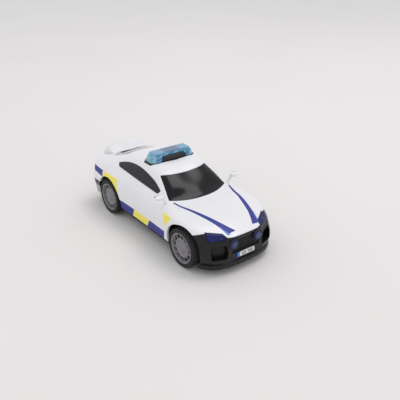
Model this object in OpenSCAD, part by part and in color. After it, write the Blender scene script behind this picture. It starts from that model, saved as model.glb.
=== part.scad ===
// Toy police car: a moulded shell on a screwed chassis, a friction drive on the rear axle,
// and a roof light bar that is pressed down to start the lights and the sound.
// Millimetres, +X forward, +Y to the car's left, +Z up, ground at Z = 0.

/* [Body] */
// Length over the tail and the front lip
body_length = 150; // [140:1:162]
// Width over the wheel arches
body_width = 66; // [62:0.5:72]
// Height of the roof crown
roof_height = 49.8; // [47.6:0.2:54]
// Wall of the moulded shell
wall = 1.6; // [1.3:0.1:1.9]
// Wall of the black bumpers
bumper_wall = 2; // [1.7:0.1:2.4]
// Wall of the tinted glazing
glass_wall = 1; // [0.8:0.1:1.2]
// Gap along the seams between body parts
seam = 0.3; // [0.2:0.05:0.5]
// Depth of the pockets in the front bumper
pocket_depth = 0.8; // [0.5:0.1:1]
// Depth that the lamp lenses are let into the body
lens_depth = 1.2; // [0.9:0.1:1.3]

/* [Wheels] */
// Distance between the axles at a body length of 150
wheelbase = 92.4; // [89:0.2:96]
// Radius of the tyres
tyre_radius = 13.4; // [13:0.1:14]
// Width of the tyres
tyre_width = 9.5; // [8:0.5:10.5]
// Radius of the rims
rim_radius = 10.4; // [9.6:0.1:11]
// Number of openings round each rim
rim_holes = 12; // [8:1:14]
// Radius of the steel axles
axle_radius = 1.25; // [1:0.05:1.4]
// Running clearance of the shafts in their bearings
running_gap = 0.05; // [0.03:0.01:0.09]

/* [Drive] */
// Module of the gear teeth
tooth_module = 0.6; // [0.5:0.05:0.62]
// Teeth on the axle gear
axle_teeth = 16; // [14:1:16]
// Teeth on the small end of the middle gear
middle_pinion_teeth = 10; // [9:1:11]
// Teeth on the large end of the middle gear
middle_teeth = 18; // [16:1:18]
// Teeth on the flywheel pinion
flywheel_teeth = 8; // [8:1:10]
// Radius of the flywheel
flywheel_radius = 6.2; // [5:0.1:6.3]
// Radius of the gear shafts
shaft_radius = 1; // [0.8:0.05:1.1]

/* [Light bar] */
// Travel of the light bar when it is pressed
bar_travel = 1; // [0.5:0.1:1.3]
// Half length of the light bar
bar_half = 18.5; // [17:0.1:19.5]
// Height of the lens
lens_height = 6.4; // [5.6:0.1:8]
// Clearance round the light bar in the roof
bar_gap = 0.35; // [0.3:0.05:0.5]

/* [Chassis] */
// Height of the underside above the ground
floor_low = 6; // [5.4:0.1:6.2]
// Thickness of the floor
floor_wall = 1.6; // [1.4:0.1:1.6]
// Radius of the self-tapping screws
screw_radius = 1.2; // [1:0.1:1.4]
// Radius of a button cell
cell_radius = 5.8; // [4:0.1:6]
// Thickness of a button cell
cell_height = 5.4; // [3:0.1:5.6]
// Radius of the loudspeaker
speaker_radius = 10; // [8:0.5:10.5]

/* [Hidden] */
$fn = 48;
kx = body_length / 150;
ky = body_width / 66;
deck = 31;
kz = (roof_height - deck) / (49.8 - deck);
function lift(z) = z < deck ? z : deck + (z - deck) * kz;
axle_z = tyre_radius;
front_x = (wheelbase / 2 + 2.3) * kx;
rear_x = front_x - wheelbase * kx;
tyre_out = body_width / 2 - 0.2;
tyre_in = tyre_out - tyre_width;
arch_radius = tyre_radius + 2.6;
well_radius = tyre_radius + 1.1;
well_wall = 1.2;
well_in = tyre_in - 1.4 - well_wall;
well_out = well_in + 5;
floor_top = floor_low + floor_wall;
bearing_y = well_in - 3.5;
big = 400;

// Lines along the body from tail to nose, each knot [x, y, z]
sill_line = [[-74.5, 26.3, 8], [-70, 28.8, 8], [-60, 30.8, 10], [-52, 31, 10.5], [-30, 31, 10.5],
    [0, 30.8, 10.5], [30, 31.2, 10.5], [50, 31.6, 8], [60, 28.9, 5], [66, 25, 4.2], [71, 18, 4],
    [73.5, 12.6, 4]];
side_line = [[-74.5, 28, 22], [-70, 30.6, 21], [-60, 32, 20], [-44, 33, 20], [-20, 31.8, 19],
    [5, 31.6, 19], [30, 32.2, 19], [48, 33, 19], [58, 31.9, 17], [64, 29.9, 15], [68.5, 26.7, 13],
    [72, 21.4, 12.4], [73.5, 16.4, 12.4]];
shoulder_line = [[-74.5, 26.5, 30.5], [-70, 28.8, 31.3], [-60, 30.6, 31.8], [-44, 31.4, 31.8],
    [-20, 30.8, 31.2], [5, 30.6, 31], [30, 31, 30.8], [46, 31, 30.6], [58, 28.5, 28.2], [64, 24, 26.8],
    [69, 18, 25.6], [73.5, 11.5, 24.3]];
belt_line = [[-74.5, 22, 34.5], [-66, 24, 35.6], [-55, 25.2, 37.5], [-42, 25.6, 38.2], [-20, 26, 37.2],
    [5, 26, 36.2], [16, 26.2, 35.3], [26, 26.5, 33.6], [38, 26, 32.6], [50, 24.4, 31.6], [60, 21, 29.2],
    [67, 16.5, 27], [73.5, 10, 25]];
cant_line = [[-74.5, 16, 36.2], [-68, 17, 37], [-60, 17.4, 38.4], [-48, 16.6, 42.4], [-30, 18.8, 46.4],
    [-12, 19.4, 48], [0, 19.6, 47.1], [6.5, 20, 44.7], [16, 22.6, 39.2], [25, 24, 34.2],
    [30, 23.5, 33.2], [45, 19.5, 32.4], [60, 15, 29.8], [73.5, 7.5, 25.4]];
crown_line = [[-74.5, 0, 37.4], [-70, 0, 37.6], [-63, 0, 38.2], [-52, 0, 43.2], [-40, 0, 46.8],
    [-22, 0, 49.2], [-8, 0, 49.8], [3, 0, 48.4], [14, 0, 43.4], [24, 0, 38.2], [30.5, 0, 34.6],
    [33, 0, 34], [45, 0, 33.2], [60, 0, 30.4], [73.5, 0, 25.7]];
body_lines = [sill_line, side_line, shoulder_line, belt_line, cant_line, crown_line];
tail_x = -74.5;
nose_x = 73.5;
inner_stations = concat([-72, -69.5], [for (i = [0:24]) -66 + 5 * i],
    [57.5, 60, 62, 64, 66, 67.8, 69.4, 70.8, 72.2]);
steps = 3;

// Outlines: side ones [x, z], plan ones [x, y], front ones [y, z]
function bow(a, b, rise, n = 12) = [for (i = [0:n])
    let (t = i / n, along = b - a, across = [-along[1], along[0]] / norm(along))
    a + along * t + across * rise * 4 * t * (1 - t)];
function brow(x, half, rise, n = 12) = [for (i = [0:n])
    let (t = 1 - 2 * i / n)
    [x + rise * (1 - pow(t, 4)), half * t]];
side_glass = concat(bow([-41.7, 40.1], [14.9, 38], 6.35), [[13.1, 35.9], [-38.3, 38.5]]);
front_glass = concat(brow(6.7, 18.9, 4), bow([24.2, -23.9], [24.2, 23.9], -7.4));
rear_glass = concat(bow([-41, -15.2], [-41, 15.2], -2.5), bow([-58.2, 17.6], [-58.2, -17.6], -8));
roof_band = [[-46, -17], [12, -17], [12, 17], [-46, 17]];
front_split = [[50, 26], [57, 26.2], [62.7, 27.8], [71.5, 25.2], [90, 24.8], [90, -9], [50, -9]];
rear_split = [[-90, 19.8], [-70.7, 20.2], [-58.7, 20.9], [-50, 20.9], [-50, -9], [-90, -9]];
lip_half = [[40, 30.2], [56, 30.4], [61, 30], [65, 28.6], [69, 25.6], [72.4, 20.4], [74.4, 12.6], [75, 4]];
lip = concat(lip_half, [for (i = [len(lip_half) - 1:-1:0]) [lip_half[i][0], -lip_half[i][1]]]);
headlamp = [[13.9, 25.4], [14.8, 26.7], [23.8, 28], [24.6, 25.8], [24.5, 23.6], [15.8, 24.2]];
lip_low = 4.5;
lip_wall = 3.5;
tail_lamp = [[14.5, 27], [26.5, 26.2], [28.8, 30.4], [24, 31.8], [15.5, 30.4]];
grille_hole = [[12.4, 23.6], [13.6, 20.2], [10.9, 13.7], [-10.9, 13.7], [-13.6, 20.2], [-12.4, 23.6]];
lamp_y = 9.9;
lamp_z = 20.3;
lamp_gap = 0.1;
lamp_flange = 0.7;
side_intake = [[15.3, 21], [23.8, 21.3], [24.9, 17], [24.9, 11.8], [14.4, 11.6], [14.1, 16]];
spoiler_side = [[-62.5, 37], [-66, 39.2], [-70.5, 41.1], [-74.7, 42.6], [-75, 42.2], [-74.3, 39.6],
    [-74, 35], [-62.5, 35]];
spoiler_plan = [[-80, 18.2], [-72.4, 17.9], [-62, 14.4], [-62, -14.4], [-72.4, -17.9], [-80, -18.2]];
spoiler_front = concat([[20, 30]], [for (y = [20:-1:-20])
    [y, 42.4 - 0.0062 * y * y - 0.11 * pow(max(0, abs(y) - 13), 2)]], [[-20, 30]]);
bar_plan = [[7, bar_half - 4.2], [4, bar_half], [-4, bar_half], [-7, bar_half - 4.2],
    [-7, 4.2 - bar_half], [-4, -bar_half], [4, -bar_half], [7, 4.2 - bar_half]];
function side_points(p) = [for (q = p) [q[0] * kx, lift(q[1])]];
function bar_points() = [for (q = bar_plan) [bar_x + q[0] * kx, q[1]]];
function plan_points(p) = [for (q = p) [q[0] * kx, q[1] * ky]];
function front_points(p) = [for (q = p) [q[0] * ky, lift(q[1])]];

// Room for a round lamp inside the grille opening
function room(c, p) = min([for (i = [0:len(p) - 1]) let (a = p[i], b = p[(i + 1) % len(p)])
    abs(cross(b - a, c - a)) / norm(b - a)]);
lamp_radius = room([lamp_y * ky, lamp_z], front_points(grille_hole)) - lamp_gap;

// Fixing points [x, y]
body_fixings = [for (x = [-67.8, 36], s = [-1, 1]) [x * kx, s * 13.6 * ky]];
boss_radius = screw_radius + 1.4;
boss_base = floor_low + 3.6;

// Light bar stack, from the switch up
bar_x = -9.4 * kx;
bar_top = roof_height - 0.5;
bar_low = roof_height - 4.4;
board_wall = 1.2;
board_z = roof_height - 13.8;
board_x = 9.5;
board_y = 17.5;
switch_z = board_z + board_wall;
switch_height = 3.6;
button_radius = 1.6;
button_low = switch_z + 0.4 + bar_travel;
button_top = switch_z + switch_height + bar_travel + 0.4;
column_y = 14.5;
dash_x = 17 * kx;
dash_z = 27;

// Gear centres [x, z], worked out from the teeth
function pitch(n) = n * tooth_module / 2;
centre_play = 0.1;
middle_angle = 35;
flywheel_angle = 10;
axle_centre = [rear_x, axle_z];
middle_centre = axle_centre + (pitch(axle_teeth) + pitch(middle_pinion_teeth) + centre_play)
    * [cos(middle_angle), sin(middle_angle)];
flywheel_centre = middle_centre + (pitch(middle_teeth) + pitch(flywheel_teeth) + centre_play)
    * [cos(flywheel_angle), sin(flywheel_angle)];
gear_wide = 3;
gear_gap = 0.6;
first_y = -3.2;
second_y = first_y + gear_gap + gear_wide;
flywheel_y = second_y + 0.8;
flywheel_wide = 5;
plate_wall = 1.4;
right_plate_y = first_y - gear_wide - 0.6;
left_plate_y = flywheel_y + flywheel_wide + 0.6;
plate_low = [rear_x - 8, floor_top];
plate_high = [flywheel_centre[0] + flywheel_radius + 2.6, flywheel_centre[1] + flywheel_radius + 2.6];
post_radius = 1.25;
posts = [[plate_low[0] + 1.8, plate_low[1] + 1.5], [plate_low[0] + 1.8, plate_high[1] - 1.8],
    [plate_high[0] - 1.8, plate_low[1] + 1.8], [plate_high[0] - 1.8, plate_high[1] - 1.8]];

// Battery compartment
cell_count = 3;
cell_z = floor_low + 1.2 + cell_radius;
contact_wall = 0.3;
pack_length = cell_count * cell_height;
bay_length = pack_length + 2 * contact_wall + 0.8;
bay_x = -3.5 * kx;
bay_half = cell_radius + 0.4;
bay_top = cell_z + cell_radius + 0.4;
bay_wall = 1.4;
cover_wall = 1;
cover_x = bay_length / 2 + 2.4;
cover_y = bay_half + 2.2;
cover_tab = 5.4;
cover_head = 0.5;
cover_screw_x = bay_x + cover_x + cover_tab / 2;
speaker_x = cover_screw_x + cover_tab / 2 + speaker_radius + 1.2;
speaker_height = 5;

// Cubic through the knots of one line
function span(k, x, i = 0) = i >= len(k) - 2 || x < k[i + 1][0] ? i : span(k, x, i + 1);
function rate(k, i) = (k[i + 1] - k[i]) / (k[i + 1][0] - k[i][0]);
function slope(k, i) = i == 0 ? rate(k, 0) : i == len(k) - 1 ? rate(k, i - 1) :
    let (a = k[i][0] - k[i - 1][0], b = k[i + 1][0] - k[i][0])
    (rate(k, i - 1) * b + rate(k, i) * a) / (a + b);
function on_line(k, x) = let (i = span(k, x), h = k[i + 1][0] - k[i][0], t = (x - k[i][0]) / h, u = 1 - t)
    (1 + 2 * t) * u * u * k[i] + t * u * u * h * slope(k, i)
    + t * t * (3 - 2 * t) * k[i + 1] - t * t * u * h * slope(k, i + 1);

// Section from the sill to the crown at one station, smooth along its own length
function run(p, i) = i == 0 ? 0 : run(p, i - 1) + norm(p[i] - p[i - 1]);
function half_section(x) = let (c = [for (k = body_lines) let (v = on_line(k, x)) [v[1], v[2]]],
    e = concat(c, [[-c[4][0], c[4][1]]]), k = [for (i = [0:6]) [run(e, i), e[i][0], e[i][1]]])
    concat([for (i = [0:4], j = [0:steps - 1])
        let (v = on_line(k, k[i][0] + (k[i + 1][0] - k[i][0]) * j / steps)) [v[1], v[2]]], [c[5]]);
function scaled_half(x) = [for (p = half_section(x)) [p[0] * ky, lift(p[1])]];
function inset_half(x, depth) = let (h = scaled_half(x), n = len(h) - 1)
    [for (j = [0:n]) let (a = h[max(j - 1, 0)], b = j < n ? h[j + 1] : [-h[n - 1][0], h[n - 1][1]],
        along = (b - a) / norm(b - a)) h[j] - depth * [along[1], -along[0]]];
function row(x, depth) = let (h = inset_half(x, depth), n = len(h), place = x * (kx - depth / 75))
    concat([for (p = h) [place, -p[0], p[1]]], [for (i = [n - 2:-1:0]) [place, h[i][0], h[i][1]]]);
function deepened(r) = let (a = r[0], b = r[len(r) - 1])
    concat([[a[0], a[1], -9]], r, [[b[0], b[1], -9]]);

// The body form, moved in by a depth; a deep form runs on down through its open underside
module form(depth = 0, deep = true) {
    stations = concat([tail_x], inner_stations, [nose_x]);
    rows = [for (x = stations) deep ? deepened(row(x, depth)) : row(x, depth)];
    n = len(rows) - 1;
    m = len(rows[0]) - 1;
    w = m + 1;
    walls = [for (i = [0:n - 1], j = [0:m - 1]) let (a = i * w + j, b = a + w)
        each [[a, a + 1, b + 1], [a, b + 1, b]]];
    under = [for (i = [0:n - 1]) let (a = i * w, b = a + w) each [[a, b, b + m], [a, b + m, a + m]]];
    tail = [for (j = [0:m / 2 - 1]) each concat([[j, m - j, m - j - 1]],
        j < m / 2 - 1 ? [[j, m - j - 1, j + 1]] : [])];
    nose = [for (f = tail) [for (k = [2:-1:0]) n * w + f[k]]];
    polyhedron(points = [for (r = rows) each r], faces = concat(walls, under, tail, nose), convexity = 8);
}

// A moulded piece is kept as one smooth skin
module moulded() {
    resize([0, 0, 0])
        children();
}

// Skin of the body form between two depths
module skin(outer, inner) {
    difference() {
        form(outer, outer > 0);
        form(inner);
    }
}

module side_slab(outline, from = -big, to = big) {
    translate([0, to, 0])
        rotate([90, 0, 0])
            linear_extrude(to - from)
                polygon(side_points(outline));
}

module side_pair(outline, grow, from) {
    for (s = [0, 1])
        mirror([0, s, 0])
            translate([0, big, 0])
                rotate([90, 0, 0])
                    linear_extrude(big - from)
                        offset(delta = grow)
                            polygon(side_points(outline));
}

module plan_slab(outline, grow, low) {
    translate([0, 0, low])
        linear_extrude(big)
            offset(delta = grow)
                polygon(plan_points(outline));
}

module front_slab(outline, grow, from, to, side) {
    mirror([0, side < 0 ? 1 : 0, 0])
        translate([from, 0, 0])
            rotate([90, 0, 90])
                linear_extrude(to - from)
                    offset(delta = grow)
                        polygon(front_points(outline));
}

// A cylinder along Y, between two Y values, about a point [x, z]
module cross_rod(c, r, y0, y1) {
    translate([c[0], y1, c[1]])
        rotate([90, 0, 0])
            cylinder(r = r, h = y1 - y0);
}

module arches() {
    for (x = [front_x, rear_x], s = [0, 1])
        mirror([0, s, 0])
            cross_rod([x, axle_z], arch_radius, well_in, big);
}

module glass_openings(grow) {
    side_pair(side_glass, grow, 15 * ky);
    plan_slab(front_glass, grow, 30);
    plan_slab(rear_glass, grow, lift(34));
}

module bar_outline(grow, low, high) {
    translate([0, 0, low])
        linear_extrude(high - low)
            offset(delta = grow)
                polygon(bar_points());
}

module lamp_openings(grow) {
    for (s = [-1, 1]) {
        front_slab(headlamp, grow, 52 * kx, big, s);
        front_slab(tail_lamp, grow, -big, -66 * kx, s);
    }
}

module body_shell() {
    color("white")
        moulded()
            difference() {
                union() {
                    difference() {
                        skin(0, wall);
                        side_slab(front_split);
                        side_slab(rear_split);
                    }
                    intersection() {
                        form(wall / 2);
                        for (p = body_fixings)
                            translate([p[0], p[1], boss_base + seam])
                                cylinder(r = boss_radius, h = big, $fn = 24);
                    }
                }
                arches();
                glass_openings(0);
                bar_outline(bar_gap, bar_low - 2, big);
                lamp_openings(seam / 2);
                for (p = body_fixings)
                    translate([p[0], p[1], 0])
                        cylinder(r = screw_radius + 0.25, h = boss_base + 9, $fn = 24);
            }
}

module glazing() {
    color([0.1, 0.1, 0.11, 0.85])
        moulded()
            difference() {
                union() {
                    intersection() {
                        skin(wall + 0.15, wall + 0.15 + glass_wall);
                        union() {
                            glass_openings(1.6);
                            plan_slab(roof_band, 0, lift(40));
                        }
                    }
                    intersection() {
                        skin(0.3, wall + 0.5);
                        glass_openings(-0.2);
                    }
                }
                bar_outline(bar_gap + 1, bar_low - 3, big);
                translate([-big, -big, -big])
                    cube([2 * big, 2 * big, big + lift(32.5)]);
            }
}

module front_bumper() {
    color("black")
        moulded() {
            difference() {
                intersection() {
                    skin(0, bumper_wall);
                    translate([50 * kx, -big, -big])
                        cube(2 * big);
                    translate([0, big, 0])
                        rotate([90, 0, 0])
                            linear_extrude(2 * big)
                                offset(delta = -seam)
                                    polygon(side_points(front_split));
                }
                arches();
                lamp_openings(seam / 2);
                front_slab(grille_hole, 0, 60 * kx, big, 1);
                difference() {
                    for (s = [-1, 1])
                        front_slab(side_intake, 0, 60 * kx, big, s);
                    form(pocket_depth);
                }
            }
            difference() {
                translate([0, 0, lip_low])
                    linear_extrude(lip_wall)
                        difference() {
                            polygon(plan_points(lip));
                            offset(delta = -5)
                                polygon(plan_points(lip));
                            translate([0, -big / 2])
                                square([56 * kx, big]);
                        }
                arches();
            }
        }
}

module grille() {
    pitch_y = 2.6;
    pitch_z = 2.7;
    color([0.12, 0.12, 0.13])
        translate([(nose_x - 2.1) * kx, 0, 0])
            rotate([90, 0, 90])
                linear_extrude(1.2)
                    difference() {
                        polygon([for (p = front_points(grille_hole))
                            [p[0] * 0.985, (p[1] - 19) * 0.965 + 19]]);
                        for (i = [-3:3], j = [0:2])
                            translate([(i + (j % 2) / 2) * pitch_y * ky, 16 + j * pitch_z])
                                if (abs(i + (j % 2) / 2) * pitch_y < 6.4)
                                    circle(r = 1.15 * ky, $fn = 6);
                        for (s = [-1, 1])
                            translate([s * lamp_y * ky, lamp_z])
                                circle(r = 1.8);
                    }
}

module front_plate() {
    color("white")
        translate([(nose_x + 0.05) * kx, -7.2, 10.2])
            cube([0.7, 14.4, 3]);
}

module grille_lamp(side) {
    color([0.24, 0.28, 0.4])
        translate([(nose_x - 2.1) * kx + 1.2, side * lamp_y * ky, lamp_z])
            rotate([0, 90, 0])
                rotate_extrude()
                    polygon(concat([for (p = [[0, 2.3], [0.5, 2.15], [0.82, 1.8], [1, 1.35], [1, 1.05]])
                        [p[0] * (lamp_radius + lamp_flange), p[1]]], [for (p = [[1, 1.05], [1, 0],
                        [0.78, 0], [0.75, 0.7], [0.44, 1.5], [0, 1.85]]) [p[0] * lamp_radius, p[1]]]));
}

module grille_lamp_left() {
    grille_lamp(1);
}

module grille_lamp_right() {
    grille_lamp(-1);
}

module led(height) {
    rotate_extrude()
        polygon([[0, 0], [1.75, 0], [1.75, 0.8], [1.5, 0.8], [1.5, height - 1.4], [1.3, height - 0.7],
            [0.75, height - 0.2], [0, height]]);
}

module front_leds() {
    color([0.8, 0.85, 0.95])
        for (s = [-1, 1])
            translate([(nose_x - 2.1) * kx - 2.4, s * lamp_y * ky, lamp_z])
                rotate([0, 90, 0])
                    led(4.2);
}

module headlight(side) {
    color([0.19, 0.22, 0.36])
        mirror([0, side < 0 ? 1 : 0, 0])
            moulded()
                intersection() {
                    skin(0, lens_depth);
                    front_slab(headlamp, -seam / 2, 52 * kx, big, 1);
                }
}

module headlight_left() {
    headlight(1);
}

module headlight_right() {
    headlight(-1);
}

module rear_bumper() {
    color("black")
        moulded()
            difference() {
                intersection() {
                    skin(0, bumper_wall);
                    translate([0, big, 0])
                        rotate([90, 0, 0])
                            linear_extrude(2 * big)
                                offset(delta = -seam)
                                    polygon(side_points(rear_split));
                }
                arches();
            }
}

module rear_plate() {
    color("white")
        translate([(tail_x - 0.05) * kx - 0.4, -7, 20.6])
            cube([0.4, 14, 4]);
}

module tail_light(side) {
    color([0.7, 0.08, 0.08])
        mirror([0, side < 0 ? 1 : 0, 0])
            moulded()
                intersection() {
                    skin(0, lens_depth);
                    front_slab(tail_lamp, -seam / 2, -big, -66 * kx, 1);
                }
}

module tail_light_left() {
    tail_light(1);
}

module tail_light_right() {
    tail_light(-1);
}

module mirror_housing(side) {
    color("white")
        mirror([0, side < 0 ? 1 : 0, 0])
            moulded()
                difference() {
                    union() {
                        hull() {
                            translate([25.3 * kx, 29.6 * ky, lift(39.4)])
                                sphere(r = 1.4, $fn = 20);
                            translate([26.7 * kx, 34.6 * ky, lift(39.9)])
                                sphere(r = 1.2, $fn = 20);
                            translate([23.2 * kx, 28.6 * ky, lift(38.1)])
                                cube([0.8, 6.4, 2.8]);
                        }
                        hull() {
                            translate([22.6 * kx, 25.9 * ky, lift(33.2)])
                                cube([2.6, 1.5, 1]);
                            translate([23.8 * kx, 28.6 * ky, lift(37.9)])
                                cube([1.8, 1.6, 1]);
                        }
                    }
                    form(-0.15, false);
                }
}

module mirror_left() {
    mirror_housing(1);
}

module mirror_right() {
    mirror_housing(-1);
}

module spoiler() {
    color("white")
        moulded()
            difference() {
                intersection() {
                    side_slab(spoiler_side);
                    plan_slab(spoiler_plan, 0, 0);
                    front_slab(spoiler_front, 0, -big, 0, 1);
                }
                form(-0.15, false);
            }
}

module dashboard() {
    color([0.15, 0.15, 0.16])
        translate([dash_x, 18 * ky, dash_z])
            rotate([90, 0, 0])
                linear_extrude(36 * ky)
                    polygon([[-4, 0], [8, 0], [8, 1.6], [3, 2.6], [-2.6, 3.4], [-4, 2.8]]);
}

module wheel_well(x, side) {
    mirror([0, side < 0 ? 1 : 0, 0])
        difference() {
            cross_rod([x, axle_z], well_radius + well_wall, well_in, well_out);
            cross_rod([x, axle_z], well_radius, well_in + well_wall, well_out + 1);
            cross_rod([x, axle_z], axle_radius + 1.5, well_in - 1, well_out);
            translate([x - 2 * tyre_radius, well_in - 1, floor_low + floor_wall / 2 - 4 * tyre_radius])
                cube([4 * tyre_radius, 2 * tyre_width, 4 * tyre_radius]);
        }
}

module chassis_solid() {
    mid_rear = rear_x + arch_radius + 0.5;
    mid_front = front_x - arch_radius - 0.5;
    narrow = well_in + well_wall / 2;
    wide = 30.3 * ky;
    floor_half = wide - 5;
    rail_wall = 2.4;
    rail_top = 10.1;
    end_half = 17 * ky;
    outline = [[-71.4 * kx, 15 * ky], [-68 * kx, end_half], [-62 * kx, narrow], [mid_rear, narrow],
        [mid_rear, floor_half], [mid_front, floor_half], [mid_front, narrow], [62 * kx, narrow],
        [67 * kx, 13 * ky]];
    translate([0, 0, floor_low])
        linear_extrude(floor_wall)
            polygon(concat(outline, [for (i = [len(outline) - 1:-1:0]) [outline[i][0], -outline[i][1]]]));
    for (s = [-1, 1]) {
        mirror([0, s < 0 ? 1 : 0, 0])
            translate([mid_rear, 0, 0])
                rotate([90, 0, 90])
                    linear_extrude(mid_front - mid_rear)
                        polygon([[floor_half - 1, floor_low], [floor_half, floor_low],
                            [wide, floor_low + rail_wall], [wide, rail_top], [wide - rail_wall, rail_top],
                            [wide - rail_wall, floor_top + 1.4], [floor_half - 1, floor_top]]);
        for (x = [front_x, rear_x])
            wheel_well(x, s);
        translate([front_x - 3, s * bearing_y - 1.5, floor_low])
            cube([6, 3, axle_z + axle_radius + 2.2 - floor_low]);
        translate([bar_x, s * column_y, floor_low])
            cylinder(r = 2.5, h = board_z - floor_low);
        translate([dash_x + 2, s * 15 * ky, floor_low])
            cylinder(r = 2.2, h = dash_z - floor_low);
    }
    for (p = body_fixings)
        translate([p[0], p[1], floor_low])
            cylinder(r = boss_radius + 1.4, h = boss_base - floor_low);
    translate([bay_x - bay_length / 2 - bay_wall, -bay_half - bay_wall, floor_low])
        cube([bay_length + 2 * bay_wall, 2 * (bay_half + bay_wall), bay_top + bay_wall - floor_low]);
    translate([cover_screw_x, 0, floor_low])
        cylinder(r = 2.6, h = 7.5);
    for (a = [0, 120, 240])
        translate([speaker_x, 0, floor_low])
            rotate(a)
                translate([speaker_radius + 1.1, 0, 0])
                    cylinder(r = 0.9, h = floor_wall + speaker_height * 0.8);
}

module chassis() {
    color([0.09, 0.09, 0.1])
        difference() {
            chassis_solid();
            for (s = [-1, 1]) {
                cross_rod([front_x, axle_z], axle_radius + running_gap, s * bearing_y - 2, s * bearing_y + 2);
                translate([bar_x, s * column_y, board_z - 7])
                    cylinder(r = 1.1, h = 8);
            }
            for (p = body_fixings)
                translate([p[0], p[1], 0]) {
                    cylinder(r = screw_radius + 0.2, h = big);
                    cylinder(r = 2 * screw_radius + 0.2, h = floor_low + 2);
                }
            translate([bay_x - bay_length / 2, -bay_half, 0])
                cube([bay_length, 2 * bay_half, bay_top]);
            translate([bay_x - cover_x - 0.2, -cover_y - 0.2, 0])
                cube([2 * cover_x + 0.4 + cover_tab, 2 * cover_y + 0.4, floor_low + cover_wall + 0.1]);
            translate([cover_screw_x, 0, 0])
                cylinder(r = screw_radius + 0.05, h = floor_low + 6.6);
            for (a = [0:60:300])
                translate([speaker_x, 0, 0])
                    rotate(a)
                        translate([speaker_radius / 2, 0, 0])
                            cylinder(r = 0.9, h = floor_top + 1);
            translate([speaker_x, 0, 0])
                cylinder(r = 0.9, h = floor_top + 1);
        }
}

module screw(shank) {
    difference() {
        union() {
            cylinder(r = 2 * screw_radius - 0.1, h = 1.4);
            cylinder(r = screw_radius, h = 1.4 + shank);
        }
        for (a = [0, 90])
            rotate(a)
                translate([-1.5, -0.3, -1])
                    cube([3, 0.6, 1.7]);
    }
}

module body_screws() {
    color("silver")
        for (p = body_fixings)
            translate([p[0], p[1], floor_low + 0.5])
                screw(9);
}

module battery_cover() {
    color([0.09, 0.09, 0.1])
        difference() {
            translate([bay_x - cover_x, -cover_y, floor_low])
                cube([2 * cover_x + cover_tab, 2 * cover_y, cover_wall]);
            translate([cover_screw_x, 0, 0])
                cylinder(r = screw_radius + 0.2, h = big);
            translate([cover_screw_x, 0, 0])
                cylinder(r = 2 * screw_radius, h = floor_low + cover_head + 0.05);
            for (i = [-2:2])
                translate([bay_x - cover_x + 3, i * 2 - 0.4, floor_low - 1])
                    cube([4, 0.8, 1.4]);
        }
}

module battery_cover_screw() {
    color("silver")
        translate([cover_screw_x, 0, floor_low])
            difference() {
                union() {
                    cylinder(r = 2 * screw_radius - 0.2, h = cover_head);
                    cylinder(r = screw_radius, h = 5.5);
                }
                translate([-1.4, -0.3, -1])
                    cube([2.8, 0.6, 1.3]);
            }
}

module battery_cells() {
    color([0.75, 0.76, 0.78])
        for (i = [0:cell_count - 1])
            translate([bay_x - pack_length / 2 + i * cell_height + 0.04, 0, cell_z])
                rotate([0, 90, 0])
                    rotate_extrude()
                        polygon([[0, 0], [cell_radius - 1.4, 0], [cell_radius - 1.4, 0.5], [cell_radius, 0.8],
                            [cell_radius, cell_height - 0.4], [cell_radius - 0.4, cell_height - 0.08],
                            [0, cell_height - 0.08]]);
}

module battery_contacts() {
    color([0.8, 0.78, 0.7])
        for (s = [-1, 1])
            translate([bay_x + s * (pack_length + 0.2 + contact_wall) / 2 - contact_wall / 2, -4, cell_z - 4])
                cube([contact_wall, 8, 8]);
}

module speaker() {
    color([0.25, 0.25, 0.27])
        translate([speaker_x, 0, floor_top])
            difference() {
                union() {
                    cylinder(r = speaker_radius, h = 1.6);
                    cylinder(r = speaker_radius * 0.82, h = 3.2);
                    cylinder(r = speaker_radius * 0.5, h = speaker_height);
                }
                translate([0, 0, -1])
                    cylinder(r = speaker_radius - 1.2, h = 1.8);
            }
}

module circuit_board() {
    color([0.1, 0.35, 0.2])
        difference() {
            translate([bar_x - board_x, -board_y, board_z])
                cube([2 * board_x, 2 * board_y, board_wall]);
            for (s = [-1, 1])
                translate([bar_x, s * column_y, 0])
                    cylinder(r = 1.2, h = big);
        }
}

module sound_chip() {
    color([0.05, 0.05, 0.05])
        translate([bar_x - 6.2, 0, switch_z])
            rotate_extrude()
                polygon([[0, 0], [2.6, 0], [2.4, 0.5], [1.6, 1], [0, 1.2]]);
}

module board_screws() {
    color("silver")
        for (s = [-1, 1])
            translate([bar_x, s * column_y, 0]) {
                translate([0, 0, switch_z + 0.05])
                    cylinder(r = 1.9, h = 1);
                translate([0, 0, board_z - 6])
                    cylinder(r = 1, h = 6 + board_wall + 0.1);
            }
}

module switch_body() {
    color([0.2, 0.2, 0.21])
        difference() {
            translate([bar_x - 3, -3, switch_z])
                cube([6, 6, switch_height]);
            translate([bar_x, 0, switch_z + 0.3])
                cylinder(r = button_radius + running_gap, h = big);
        }
}

module switch_button() {
    color([0.1, 0.1, 0.1])
        translate([bar_x, 0, button_low])
            cylinder(r = button_radius, h = button_top - button_low);
}

module lightbar_base() {
    color([0.08, 0.08, 0.09])
        difference() {
            union() {
                bar_base_block();
                translate([bar_x, 0, button_top + 0.02])
                    cylinder(r = 2, h = bar_top - button_top - 1);
                for (s = [-1, 1], y = [-9, 9])
                    translate([bar_x + s * 7.4 * kx - 0.9, y - 2, bar_low - 1.7])
                        cube([1.8, 4, 1.2]);
                for (s = [-1, 1], y = [-9, 9])
                    translate([bar_x + s * 6.2 * kx - 0.6, y - 2, bar_low - 1.7])
                        cube([1.2, 4, 2.2]);
            }
            translate([bar_x, 0, bar_top - 3])
                for (s = [-1, 1])
                    translate([0, s * 4, 0])
                        cylinder(r = 0.8, h = 4);
        }
}

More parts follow.
